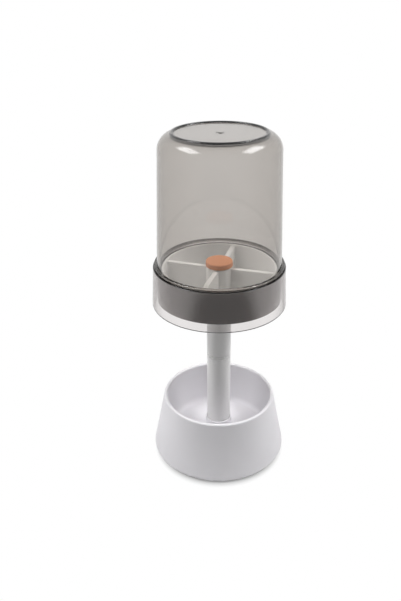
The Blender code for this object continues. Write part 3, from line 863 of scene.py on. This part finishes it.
@dataclass(frozen=True)
class Base:
    """Base: the shell with its well, the plate, the rubber ring, and the screw with its washer."""

    rim_radius: float = 39.8 * MM
    flare: float = 8.7 * MM
    wall: float = 2.4 * MM
    edge_round: float = 1.6 * MM
    rim_thickness: float = 2.4 * MM
    rim_round: float = 1.15 * MM
    well_draft: float = 1.0 * MM
    well_wall: float = 1.8 * MM
    well_floor: float = 2.2 * MM
    well_fillet: float = 4.0 * MM
    cavity_top: float = 1.2 * MM
    socket_bore: float = 8.7 * MM
    socket_wall: float = 1.6 * MM
    socket_height: float = 11.5 * MM
    socket_top: float = 0.8 * MM
    socket_round: float = 0.35 * MM
    socket_fillet: float = 3.0 * MM
    plate_thickness: float = 3.0 * MM
    plate_seat: float = 0.8 * MM
    plate_round: float = 0.4 * MM
    plate_boss_wall: float = 1.6 * MM
    groove_depth: float = 1.4 * MM
    ring_inset: float = 3.9 * MM
    ring_width: float = 5.0 * MM
    ring_round: float = 0.5 * MM
    screw_radius: float = 1.7 * MM
    head_radius: float = 3.4 * MM
    head_height: float = 2.4 * MM
    head_round: float = 0.9 * MM
    washer_radius: float = 5.0 * MM
    washer_round: float = 0.15 * MM
    thread_pitch: float = 1.3 * MM
    thread_depth: float = 0.35 * MM
    thread_steps: int = 110
    recess_arm: float = 2.1 * MM
    recess_width: float = 1.0 * MM
    recess_depth: float = 1.3 * MM
    recess_slope: float = 0.18 * MM
    recess_margin: float = 1.05
    recess_steps: int = 26

    def pieces(self) -> Iterator[Piece]:
        """Make and dress the pieces of the base.

        Returns:
            Each piece in turn.
        """
        yield dress(self.shell(), "base_shell", Body.STAND, WHITE_MATTE)
        yield dress(self.plate(), "base_plate", Body.STAND, WHITE_MATTE)
        yield dress(self.ring(), "anti_slip_ring", Body.STAND, GREY_RUBBER)
        yield dress(self.washer(), "screw_washer", Body.STAND, STEEL)
        yield dress(self.screw(), "post_screw", Body.STAND, STEEL)

    @property
    def slope(self) -> float:
        """How much the skirt widens for each metre down."""
        return self.flare / (top_of("base_shell") - bottom_of("base_shell"))

    @property
    def skirt_thickness(self) -> float:
        """Thickness of the sloping skirt, measured level."""
        return self.wall * math.hypot(1.0, self.slope)

    @property
    def seat_radius(self) -> float:
        """Inner radius of the skirt where the plate's seat begins."""
        seat = self.plate_thickness + SEAT_GAP
        return self.rim_radius + self.flare - self.slope * seat - self.skirt_thickness

    @property
    def plate_edge(self) -> float:
        """Radius of the plate."""
        return self.seat_radius + self.plate_seat - SEAT_GAP

    @property
    def hole(self) -> float:
        """Radius of the holes that the screw passes."""
        return self.screw_radius + SEAT_GAP

    def shell(self) -> Piece:
        """Turn skirt, rim, well and post socket as one moulding that is open underneath.

        Returns:
            The shell.
        """
        foot, rim = span("base_shell")
        floor = bottom_of("lower_post") - SEAT_GAP
        under = floor - self.well_floor
        bottom = self.rim_radius + self.flare
        well_top = self.rim_radius - self.rim_thickness
        well_foot = well_top - self.well_draft
        well_slope = self.well_draft / (rim - floor)
        spare = self.cavity_top + self.skirt_thickness + self.well_wall - self.rim_thickness
        cavity = rim - spare / (self.slope + well_slope)
        cavity_outer = bottom - self.slope * (cavity - foot) - self.skirt_thickness
        cavity_round = self.cavity_top / 3.0
        seat = foot + self.plate_thickness + SEAT_GAP
        rebate = self.seat_radius + self.plate_seat
        bore, top = self.socket_bore, floor + self.socket_height
        return turned("shell_moulding", corners(
            (self.hole, under), (well_foot + self.well_wall, under, self.well_fillet),
            (cavity_outer - self.cavity_top, cavity, cavity_round),
            (cavity_outer, cavity, cavity_round), (self.seat_radius, seat), (rebate, seat),
            (rebate, foot, self.plate_round / 2.0), (bottom, foot, self.edge_round),
            (self.rim_radius, rim, self.rim_round), (well_top, rim, self.rim_round),
            (well_foot, floor, self.well_fillet),
            (bore + self.socket_wall, floor, self.socket_fillet),
            (bore + self.socket_top, top, self.socket_round), (bore, top), (bore, floor),
            (self.hole, floor),
        ))

    def plate(self) -> Piece:
        """Turn the plate, with the ring's groove and the counterbored boss that meets the well.

        Returns:
            The plate.
        """
        foot, boss_top = span("base_plate")
        ceiling = top_of("screw_washer") + SEAT_GAP
        counterbore = self.washer_radius + SEAT_GAP
        boss, edge = counterbore + self.plate_boss_wall, self.plate_edge
        outer = edge - self.ring_inset + SEAT_GAP
        inner = outer - self.ring_width - 2.0 * SEAT_GAP
        groove, top = foot + self.groove_depth, foot + self.plate_thickness
        large, small = self.plate_round, self.plate_round / 2.0
        return turned("plate_moulding", corners(
            (self.hole, ceiling), (counterbore, ceiling), (counterbore, foot, large),
            (inner, foot, small), (inner, groove), (outer, groove), (outer, foot, small),
            (edge, foot, large), (edge, top, small), (boss, top, large), (boss, boss_top, large),
            (self.hole, boss_top),
        ))

    def ring(self) -> Piece:
        """Turn the rubber ring, with rounded edges below.

        Returns:
            The ring.
        """
        low, high = span("anti_slip_ring")
        outer = self.plate_edge - self.ring_inset
        inner = outer - self.ring_width
        large, small = self.ring_round, self.ring_round / 3.0
        return turned("rubber_ring", corners(
            (inner, low, large), (outer, low, large), (outer, high, small), (inner, high, small),
        ))

    def washer(self) -> Piece:
        """Turn the flat washer, with the rounded edge that punching leaves.

        Returns:
            The washer.
        """
        low, high = span("screw_washer")
        outer, edge = self.washer_radius, self.washer_round
        rows = corners((self.hole, low), (outer, low), (outer, high, edge), (self.hole, high, edge))
        return turned("washer_disc", rows, segments=SMALL_SEGMENTS)

    def screw(self) -> Piece:
        """Turn the pan-head screw, with a cross recess that looks down and a coarse thread.

        Returns:
            The screw.
        """
        face, tip = span("post_screw")
        shoulder, point = face + self.head_height, tip - self.screw_radius
        recess = CrossRecess(
            face, self.recess_arm, self.recess_width, self.recess_depth, self.recess_slope
        )
        thread = Thread(
            self.screw_radius, self.thread_pitch, self.thread_depth, shoulder + SEAT_GAP, point
        )
        return turned(
            "cross_head_screw",
            run_rows((0.0, face), (self.recess_arm * self.recess_margin, face), self.recess_steps),
            corners((self.head_radius, face, self.head_round), (self.head_radius, shoulder)),
            run_rows((self.screw_radius, shoulder), (self.screw_radius, point), self.thread_steps),
            corners((0.0, tip)),
            segments=THREAD_SEGMENTS, shapes=(recess, thread),
        )


@dataclass(frozen=True)
class Post:
    """Post: two tubes, the coupler whose collar shows between them, and the nut at the top."""

    radius: float = 8.4 * MM
    bore: float = 6.3 * MM
    edge_round: float = 0.35 * MM
    lower_web: float = 8.0 * MM
    web_hole: float = 2.0 * MM
    coupler_wall: float = 2.0 * MM
    coupler_collar: float = 1.6 * MM
    collar_round: float = 0.2 * MM
    spigot_radius: float = 6.3 * MM
    nut_radius: float = 4.5 * MM
    nut_seat: float = 0.3 * MM
    nut_bore: float = 3.2 * MM
    nut_groove_depth: float = 0.4 * MM
    nut_groove_width: float = 1.2 * MM
    thread_pitch: float = 1.0 * MM
    thread_rise: float = 0.2 * MM
    thread_steps: int = 64
    knurl_count: int = 36
    knurl_pitch: float = 0.8 * MM
    knurl_depth: float = 0.22 * MM
    knurl_steps: int = 22

    def pieces(self) -> Iterator[Piece]:
        """Make and dress the pieces of the post.

        Returns:
            Each piece in turn.
        """
        yield dress(self.lower(), "lower_post", Body.STAND, WHITE_SATIN)
        yield dress(self.coupler(), "post_coupler", Body.STAND, WHITE_SATIN)
        yield dress(self.upper(), "upper_post", Body.STAND, WHITE_SATIN)
        yield dress(self.nut(), "post_nut", Body.STAND, BRASS)

    def lower(self) -> Piece:
        """Turn the lower tube, with the web that the screw bites into.

        Returns:
            The tube.
        """
        low, high = span("lower_post")
        web, edge = low + self.lower_web, self.edge_round
        return turned("lower_tube", corners(
            (self.web_hole, low), (self.radius, low, edge), (self.radius, high, edge),
            (self.bore, high), (self.bore, web, edge), (self.web_hole, web),
        ), segments=SMALL_SEGMENTS)

    def coupler(self) -> Piece:
        """Turn the sleeve that joins the tubes, with a collar as wide as they are.

        Returns:
            The sleeve.
        """
        low, high = span("post_coupler")
        under = (low + high - self.coupler_collar) / 2.0
        over = under + self.coupler_collar
        spigot = self.bore - SEAT_GAP
        bore = spigot - self.coupler_wall
        return turned("coupler_sleeve", corners(
            (bore, low), (spigot, low, self.edge_round), (spigot, under),
            (self.radius, under, self.collar_round), (self.radius, over, self.collar_round),
            (spigot, over), (spigot, high, self.edge_round), (bore, high),
        ), segments=SMALL_SEGMENTS)

    def upper(self) -> Piece:
        """Turn the upper tube, with the spigot that enters the hub and takes the nut.

        Returns:
            The tube.
        """
        low, high = span("upper_post")
        shoulder = bottom_of("divider_insert") - SEAT_GAP
        depth = top_of("post_coupler") + SEAT_GAP
        pocket = self.nut_radius + SEAT_GAP
        seat = bottom_of("post_nut") - SEAT_GAP
        bore = self.nut_radius - self.nut_seat
        return turned("upper_tube", corners(
            (self.bore, low), (self.radius, low, self.edge_round),
            (self.radius, shoulder, self.edge_round / 2.0), (self.spigot_radius, shoulder),
            (self.spigot_radius, high, self.edge_round), (pocket, high), (pocket, seat),
            (bore, seat), (bore, depth), (self.bore, depth),
        ), segments=SMALL_SEGMENTS)

    def nut(self) -> Piece:
        """Turn the brass nut: two knurled bands, a groove between them, and a thread in its bore.

        Returns:
            The nut.
        """
        low, high = span("post_nut")
        outer, bore = self.nut_radius, self.nut_bore
        waist = outer - self.nut_groove_depth
        middle, groove = (low + high) / 2.0, self.nut_groove_width / 2.0
        return turned(
            "insert_nut",
            run_rows((outer, low), (outer, middle - groove), self.knurl_steps),
            corners((waist, middle - groove), (waist, middle + groove)),
            run_rows((outer, middle + groove), (outer, high), self.knurl_steps),
            run_rows((bore, high), (bore, low), self.thread_steps),
            segments=2 * THREAD_SEGMENTS,
            shapes=(
                Knurl(outer, self.knurl_pitch, self.knurl_depth, self.knurl_count),
                Thread(bore, self.thread_pitch, -self.thread_rise, low, high),
            ),
        )


@dataclass(frozen=True)
class Head:
    """Head: the divided insert, the dark band round it and the clear collar that hangs on it."""

    insert_radius: float = 38.4 * MM
    insert_wall: float = 1.6 * MM
    insert_round: float = 0.55 * MM
    lip_thickness: float = 1.4 * MM
    lip_width: float = 1.8 * MM
    hub_radius: float = 8.4 * MM
    hub_bore: float = 6.6 * MM
    hub_drop: float = 0.5 * MM
    hub_web: float = 3.5 * MM
    stud_hole: float = 3.2 * MM
    divider_count: int = 4
    divider_thickness: float = 3.2 * MM
    divider_round: float = 0.5 * MM
    divider_lift: float = 0.5 * MM
    divider_drop: float = 1.3 * MM
    divider_flare: float = 1.0 * MM
    band_wall: float = 1.0 * MM
    band_web: float = 1.2 * MM
    band_round: float = 0.25 * MM
    collar_standoff: float = 0.46 * MM
    collar_wall: float = 2.0 * MM
    collar_flare: float = 1.40 * MM
    collar_lip: float = 1.0 * MM
    collar_round: float = 0.5 * MM

    def pieces(self) -> Iterator[Piece]:
        """Make and dress the pieces of the head.

        Returns:
            Each piece in turn.
        """
        yield dress(self.insert(), "divider_insert", Body.STAND, INSERT_WHITE)
        yield dress(self.band(), "collar_band", Body.STAND, DARK_GREY)
        yield dress(self.collar(), "clear_collar", Body.STAND, CLEAR)

    @property
    def band_inner(self) -> float:
        """Inner radius of the band."""
        return self.insert_radius + self.lip_width + SEAT_GAP

    def wall(self) -> Piece:
        """Turn the outer wall of the insert, with the lip at its foot.

        Returns:
            The wall.
        """
        low, high = span("divider_insert")
        outer, inner = self.insert_radius, self.insert_radius - self.insert_wall
        lip, step = self.insert_radius + self.lip_width, low + self.lip_thickness
        large, small = self.insert_round, self.insert_round / 2.0
        return turned("divided_insert", corners(
            (inner, low, small), (lip, low, small), (lip, step, small), (outer, step, small),
            (outer, high, large), (inner, high, large),
        ))

    def hub(self) -> Piece:
        """Turn the hub over the post's spigot, with the web that the knob clamps.

        Returns:
            The hub.
        """
        low, rim = span("divider_insert")
        high = rim - self.hub_drop
        web = high - self.hub_web
        return turned("insert_hub", corners(
            (self.hub_bore, low), (self.hub_radius, low, self.insert_round / 2.0),
            (self.hub_radius, high, self.insert_round), (self.stud_hole, high),
            (self.stud_hole, web), (self.hub_bore, web),
        ), segments=SMALL_SEGMENTS)

    def divider(self, index: int) -> Piece:
        """Carry a section with a rounded top from the hub to the outer wall, as one crossing wall.

        At a share s along the wall, a section point (w, z) becomes the point
        (x(s), w + sign(w) * flare(s), z), where flare is a quarter circle that widens the wall into
        a fillet at both ends.

        Args:
            index: Which wall, counted round the axis.

        Returns:
            The wall as a closed solid, sunk a little into the hub and the outer wall.
        """
        half, top_round = self.divider_thickness / 2.0, self.divider_round
        low = bottom_of("divider_insert") + self.divider_lift
        high = top_of("divider_insert") - self.divider_drop
        t = np.linspace(0.0, math.pi / 2.0, FILLET_STEPS + 1)
        cosine, sine = np.cos(t), np.sin(t)
        side = np.column_stack([
            half - top_round + top_round * cosine, high - top_round + top_round * sine,
        ])
        section = np.vstack([[half, low], side, side[::-1] * (-1.0, 1.0), [-half, low]])
        wide = half + self.divider_flare
        start = math.sqrt(self.hub_radius ** 2 - wide ** 2)
        end = math.sqrt((self.insert_radius - self.insert_wall) ** 2 - wide ** 2)
        sweep, widen = self.divider_flare * (1.0 - cosine), self.divider_flare * (1.0 - sine)
        sink = self.insert_wall / 3.0
        x = np.concatenate([[start - sink], start + sweep, end - sweep[::-1], [end + sink]])
        flare = np.concatenate([widen[:1], widen, widen[::-1], widen[:1]])
        across = section[:, 0] + np.sign(section[:, 0]) * flare[:, None]
        along, height = np.broadcast_arrays(x[:, None], section[:, 1])
        spin = TAU * index / self.divider_count
        points = np.stack([
            along * math.cos(spin) - across * math.sin(spin),
            along * math.sin(spin) + across * math.cos(spin),
            height,
        ], axis=-1).reshape(-1, 3)
        sides = grid_faces(len(x), len(section), wrap=False)
        ends = np.arange(len(points)).reshape(len(x), -1)[[0, -1]]
        return solid(f"insert_wall_{index}", points, [*sides, *ends])

    def insert(self) -> Piece:
        """Outer wall, hub and crossing walls united into one moulding."""
        walls = [self.divider(index) for index in range(self.divider_count)]
        return united(self.wall(), self.hub(), *walls)

    def band(self) -> Piece:
        """Turn the dark sleeve, with the web that rests on the insert's lip.

        Returns:
            The band.
        """
        low, high = span("collar_band")
        inner, outer, edge = self.band_inner, self.band_inner + self.band_wall, self.band_round
        web = low + self.lip_thickness + SEAT_GAP
        web_top, web_inner = web + self.band_web, self.insert_radius + SEAT_GAP
        return turned("dark_band", corners(
            (inner, low), (outer, low, edge), (outer, high, edge), (inner, high, edge),
            (inner, web_top), (web_inner, web_top), (web_inner, web), (inner, web),
        ))

    def collar(self) -> Piece:
        """Turn the clear sleeve, a little wider at its foot, with the lip that hangs on the band.

        Returns:
            The collar.
        """
        low, high = span("clear_collar")
        inner, step, edge = self.band_inner, high - self.collar_lip, self.collar_round
        top = inner + self.band_wall + self.collar_standoff + self.collar_wall
        foot = top + self.collar_flare
        return turned("clear_sleeve", corners(
            (inner, step), (top - self.collar_wall, step), (foot - self.collar_wall, low, edge),
            (foot, low, edge), (top, high, edge), (inner, high, edge / 2.0),
        ))


@dataclass(frozen=True)
class Clamp:
    """Clamp: the terracotta knob and the threaded stud that is moulded into it."""

    knob_radius: float = 9.0 * MM
    knob_round: float = 0.7 * MM
    stud_radius: float = 2.9 * MM
    stud_head_radius: float = 4.4 * MM
    stud_head_height: float = 1.5 * MM
    stud_point: float = 0.6 * MM
    thread_pitch: float = 1.0 * MM
    thread_depth: float = 0.5 * MM
    thread_steps: int = 120

    def pieces(self) -> Iterator[Piece]:
        """Make and dress the stud and the knob."""
        yield dress(self.stud(), "knob_stud", Body.STUD, STEEL)
        yield dress(self.knob(), "clamp_knob", Body.KNOB, TERRACOTTA)

    def stud(self) -> Piece:
        """Turn the stud, with its round head, a chamfered point and a fine thread.

        Returns:
            The stud.
        """
        low, high = span("knob_stud")
        shoulder, point = high - self.stud_head_height, low + self.stud_point
        radius, head = self.stud_radius, self.stud_head_radius
        thread = Thread(radius, self.thread_pitch, self.thread_depth, point, shoulder - SEAT_GAP)
        return turned(
            "threaded_stud",
            corners((0.0, low), (radius - self.stud_point, low)),
            run_rows((radius, point), (radius, shoulder), self.thread_steps),
            corners((head, shoulder), (head, high, self.stud_point / 2.0), (0.0, high)),
            segments=THREAD_SEGMENTS, shapes=(thread,),
        )

    def knob(self) -> Piece:
        """Turn the round knob, with softened edges and the pocket for the stud's head.

        Returns:
            The knob.
        """
        low, high = span("clamp_knob")
        pocket, ceiling = self.stud_head_radius + SEAT_GAP, top_of("knob_stud") + SEAT_GAP
        return turned("round_knob", corners(
            (0.0, ceiling), (pocket, ceiling), (pocket, low),
            (self.knob_radius, low, self.knob_round / 2.0),
            (self.knob_radius, high, self.knob_round), (0.0, high),
        ), segments=SMALL_SEGMENTS)


@dataclass(frozen=True)
class Cover:
    """Cover: the smoky tumbler, upside down, with flange, skirt, round shoulder and foot ring."""

    skirt_outer: float = 40.2 * MM
    skirt_inner: float = 38.7 * MM
    skirt_length: float = 12.0 * MM
    flange_radius: float = 43.16 * MM
    flange_thickness: float = 1.5 * MM
    flange_rise: float = 0.45 * MM
    flange_round: float = 0.45 * MM
    mouth_radius: float = 41.34 * MM
    wall_top_radius: float = 38.45 * MM
    wall: float = 1.7 * MM
    shoulder_round: float = 10.3 * MM
    shoulder_sink: float = 0.5 * MM
    top_thickness: float = 1.8 * MM
    ring_radius: float = 29.20 * MM
    ring_width: float = 2.4 * MM
    ring_height: float = 0.9 * MM
    ring_round: float = 0.85 * MM
    nub_radius: float = 2.5 * MM
    nub_taper: float = 0.9
    nub_height: float = 0.4 * MM
    ledge_sink: float = 1.5 * MM
    ledge_drop: float = 0.2 * MM
    ledge_round: float = 0.25 * MM

    def pieces(self) -> Iterator[Piece]:
        """Make and dress the cup."""
        yield dress(self.cup(), "cover_cup", Body.COVER, SMOKE)

    def cup(self) -> Piece:
        """Turn the cup, from the skirt over shoulder and foot ring to the nub, and back inside.

        Returns:
            The cup.
        """
        foot, top = span("cover_cup")
        seat = foot + self.skirt_length
        flange, ledge = seat + self.flange_thickness, seat - self.ledge_sink
        shoulder = top - self.shoulder_round - self.shoulder_sink
        face = top - self.ring_height
        ceiling, nub = face - self.top_thickness, face + self.nub_height
        ring_outer = self.ring_radius + self.ring_width / 2.0
        ring_inner = self.ring_radius - self.ring_width / 2.0
        lean = math.atan((self.mouth_radius - self.wall_top_radius) / (shoulder - flange))
        centre = (self.wall_top_radius - self.shoulder_round, shoulder)
        meet = math.acos((ring_outer - centre[0]) / self.shoulder_round)
        inner_top = self.wall_top_radius - self.wall
        inner_round = ceiling - shoulder
        inner_centre = (inner_top - inner_round, shoulder)
        bottom, edge = seat - self.skirt_length, self.flange_round
        return turned(
            "smoky_cup",
            corners(
                (self.skirt_inner, bottom, edge), (self.skirt_outer, bottom, edge),
                (self.skirt_outer, seat), (self.flange_radius, seat + self.flange_rise, edge),
                (self.flange_radius, flange, edge), (self.mouth_radius, flange, edge / 2.0),
            ),
            arc_rows(centre, self.shoulder_round, lean, meet),
            corners(
                (ring_outer - self.ring_round / 4.0, top, self.ring_round),
                (ring_inner + self.ring_round / 4.0, top, self.ring_round),
                (ring_inner, face, edge / 2.0), (self.nub_radius, face, self.nub_height / 3.0),
                (self.nub_radius * self.nub_taper, nub, self.nub_height / 2.0), (0.0, nub),
                (0.0, ceiling),
            ),
            arc_rows(inner_centre, inner_round, math.pi / 2.0, lean),
            corners(
                (self.mouth_radius - self.wall, ledge, self.ledge_round),
                (self.skirt_inner, ledge - self.ledge_drop, self.ledge_round),
            ),
        )


# Studio


@dataclass(frozen=True)
class SoftBox:
    """Rectangular studio light, given in the photograph's own frame.

    Where it has a fade, its light is weaker towards the edges: with u and v from 0 to 1 over its
    face, it is a smooth step of 4 u (1 - u), times the same of v, each up to the fade.
    """

    name: str
    place: Vector
    width: float
    length: float
    radiance: float
    mirrored: bool = True
    fade: float = 0.0

    def build(self, spin: Matrix, aim: Vector) -> Piece:
        """Hang the light and point it.

        Args:
            spin: Turn from the photograph's frame to the holder's.
            aim: Point that the light looks at.

        Returns:
            The light, whose power gives its face the stated radiance.
        """
        lamp = bpy.data.lights.new(self.name, "AREA")
        lamp.shape = "RECTANGLE"
        lamp.size = self.width
        lamp.size_y = self.length
        lamp.energy = self.radiance * math.pi * self.width * self.length
        light = linked(self.name, lamp)
        light.location = spin @ self.place
        away = (light.location - aim).normalized()
        level = spin @ Vector((0.0, 1.0, 0.0))
        side = level.cross(away).normalized()
        axes = Matrix((side, away.cross(side), away)).transposed()
        light.matrix_world = Matrix.Translation(light.location) @ axes.to_4x4()
        light.visible_camera = False
        light.visible_transmission = False
        light.visible_glossy = self.mirrored
        if self.fade > 0.0:
            self.soften(lamp)
        return light

    def soften(self, lamp: bpy.types.Light) -> None:
        """Let the light fade towards its edges.

        Args:
            lamp: The lamp of the light.
        """
        graph = Graph(lamp)
        face = graph.node("ShaderNodeNewGeometry").outputs["Parametric"]
        u, v, _ = graph.axes(face)
        across, along = ((share * (1.0 - share) * 4.0).step(0.0, self.fade) for share in (u, v))
        glow = graph.shader("ShaderNodeEmission", Strength=across * along)
        graph.node("ShaderNodeOutputLight", inputs={"Surface": glow})


@dataclass(frozen=True)
class Studio:
    """Camera, floor, backdrop light and soft boxes of the photograph.

    The camera was solved from the photograph. Its place is given in a frame whose Y axis is the
    level direction that it looks along, and the holder's walls are turned against that frame.
    """

    turn: float = math.radians(17.5)
    camera_place: tuple[float, float, float] = (-12.677 * MM, -385.107 * MM, 318.318 * MM)
    camera_pitch: float = math.radians(27.3295)
    camera_roll: float = math.radians(-0.6054)
    focal_pixels: float = 634.525
    frame_height_pixels: float = 601.0
    sensor_height: float = 36.0
    clip_start: float = 0.01
    aim_height: float = 0.12
    fill: float = 0.07
    floor_radius: float = 0.9
    floor_colour: Colour = (0.60, 0.60, 0.60)
    front_floor_colour: Colour = (0.08, 0.08, 0.08)
    front_edge: float = -0.20
    front_fade: float = 0.09
    patch_back: float = -0.26
    patch_right: float = 0.024
    patch_core: float = 0.19
    patch_edge: float = 0.33
    patch_glow: float = 0.36
    shadow_colour: Colour = (0.25, 0.25, 0.25)
    shadow_glow: float = 0.26
    shadow_shift: float = 5.0 * MM
    shadow_radius: float = 41.5 * MM
    white_radius: float = 48.8 * MM
    soft_boxes: tuple[SoftBox, ...] = (
        SoftBox("left_strip", Vector((-0.58, -0.05, 0.91)), 0.42, 0.84, 9.6, fade=0.9),
        SoftBox("right_strip", Vector((0.59, -0.02, 0.90)), 0.42, 0.84, 9.6, fade=0.9),
        SoftBox("left_soft_box", Vector((-0.62, 0.0, 0.88)), 0.50, 0.80, 0.65, mirrored=False),
        SoftBox("right_soft_box", Vector((0.62, 0.03, 0.88)), 0.50, 0.80, 0.65, mirrored=False),
        SoftBox("left_panel", Vector((-0.75, 0.0, 0.25)), 0.45, 0.90, 1.15, mirrored=False),
        SoftBox("right_panel", Vector((0.75, 0.0, 0.25)), 0.45, 0.90, 1.2, mirrored=False),
        SoftBox("overhead", Vector((0.0, 0.0, 1.4)), 1.0, 1.0, 1.47, mirrored=False),
    )

    @property
    def spin(self) -> Matrix:
        """Turn from the photograph's frame to the holder's."""
        return Matrix.Rotation(self.turn, 3, "Z")

    def build(self) -> None:
        """Set up camera, world, floor and lights."""
        self.camera()
        self.world()
        self.floor()
        for box in self.soft_boxes:
            box.build(self.spin, Vector((0.0, 0.0, self.aim_height)))
        bpy.context.scene.view_settings.view_transform = "Standard"

    def camera(self) -> None:
        """Set up the camera at the photograph's place, tilt, roll and focal length."""
        data = bpy.data.cameras.new("photo_camera")
        data.sensor_fit = "VERTICAL"
        data.sensor_height = self.sensor_height
        data.lens = self.focal_pixels / self.frame_height_pixels * self.sensor_height
        data.clip_start = self.clip_start
        camera = linked("photo_camera", data)
        look = Vector((0.0, math.cos(self.camera_pitch), -math.sin(self.camera_pitch)))
        right = Matrix.Rotation(-self.camera_roll, 3, look) @ Vector((1.0, 0.0, 0.0))
        up = right.cross(look)
        axes = Matrix((self.spin @ right, self.spin @ up, self.spin @ -look)).transposed()
        place = Matrix.Translation(self.spin @ Vector(self.camera_place))
        camera.matrix_world = place @ axes.to_4x4()
        bpy.context.scene.camera = camera

    def world(self) -> None:
        """Set up plain soft fill light, and a white backdrop where the world is seen."""
        world = bpy.data.worlds.new("studio_world")
        bpy.context.scene.world = world
        graph = Graph(world)
        fill, white = (
            graph.shader("ShaderNodeBackground", Color=(1.0, 1.0, 1.0), Strength=strength)
            for strength in (self.fill, 1.0)
        )
        both = graph.mixed(graph.ray("Camera", "Transmission", "Glossy"), fill, white)
        graph.node("ShaderNodeOutputWorld", inputs={"Surface": both})

    def floor(self) -> None:
        """Lay a round floor with the holder's shadow, and colour it.

        Its material is in three parts. To the holder's dull surfaces it is a pale table, dark in
        front. The eye sees it white, and round the base a painted shadow: a dim grey disc, shifted
        to the front, that also takes the real shadow. A glossy surface mirrors it as a white glow,
        with a dimmer glowing patch in front, as the camera side of a studio is.
        """
        angle = np.linspace(0.0, TAU, SMALL_SEGMENTS, endpoint=False)
        circle = np.stack([np.cos(angle), np.sin(angle), np.zeros_like(angle)], axis=-1)
        mesh = bpy.data.meshes.new("studio_floor")
        mesh.from_pydata((self.floor_radius * circle).tolist(), [], [list(range(SMALL_SEGMENTS))])
        material = bpy.data.materials.new("studio_floor")
        mesh.materials.append(material)
        graph = Graph(material)
        shadow, table, front = (
            graph.shader("ShaderNodeBsdfDiffuse", Color=colour)
            for colour in (self.shadow_colour, self.floor_colour, self.front_floor_colour)
        )
        glow, patch, white = (
            graph.shader("ShaderNodeEmission", Strength=strength)
            for strength in (self.shadow_glow, self.patch_glow, 1.0)
        )
        x, y, _ = graph.axes()
        back = y * math.cos(self.turn) - x * math.sin(self.turn)
        right = x * math.cos(self.turn) + y * math.sin(self.turn)
        on_table = back.step(self.front_edge, self.front_edge + self.front_fade)
        # Painted shadow: a dim grey disc round the base, shifted to the front, that fades to white
        # and also takes the real shadow
        from_base = hypotenuse(right, back + self.shadow_shift)
        away = from_base.step(self.shadow_radius, self.white_radius)
        from_patch = hypotenuse(right - self.patch_right, back - self.patch_back)
        off_patch = from_patch.step(self.patch_core, self.patch_edge)
        painted_shadow_disc = graph.node("ShaderNodeAddShader", inputs={0: shadow, 1: glow}).outputs[0]
        pale, seen = graph.mixed(on_table, front, table), graph.mixed(away, painted_shadow_disc, white)
        plain = graph.mixed(graph.ray("Camera", "Transmission"), pale, seen)
        bounces = Number(graph, graph.node("ShaderNodeLightPath").outputs["Glossy Depth"])
        # Glossy surfaces see the floor glow: white, with a dimmer patch in front
        whole = graph.mixed(bounces.above(0.5), plain, graph.mixed(off_patch, patch, white))
        graph.node("ShaderNodeOutputMaterial", inputs={"Surface": whole})
        linked("studio_floor", mesh)


def main() -> None:
    """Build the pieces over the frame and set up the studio."""
    logging.basicConfig(level=logging.INFO, format="%(name)s: %(message)s")
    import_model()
    for group in (Base(), Post(), Head(), Clamp(), Cover()):
        for piece in group.pieces():
            faces = len(piece.data.polygons)
            LOG.info("%s: %s with %d faces", type(group).__name__, piece.name, faces)
    Studio().build()


if __name__ == "__main__":
    main()
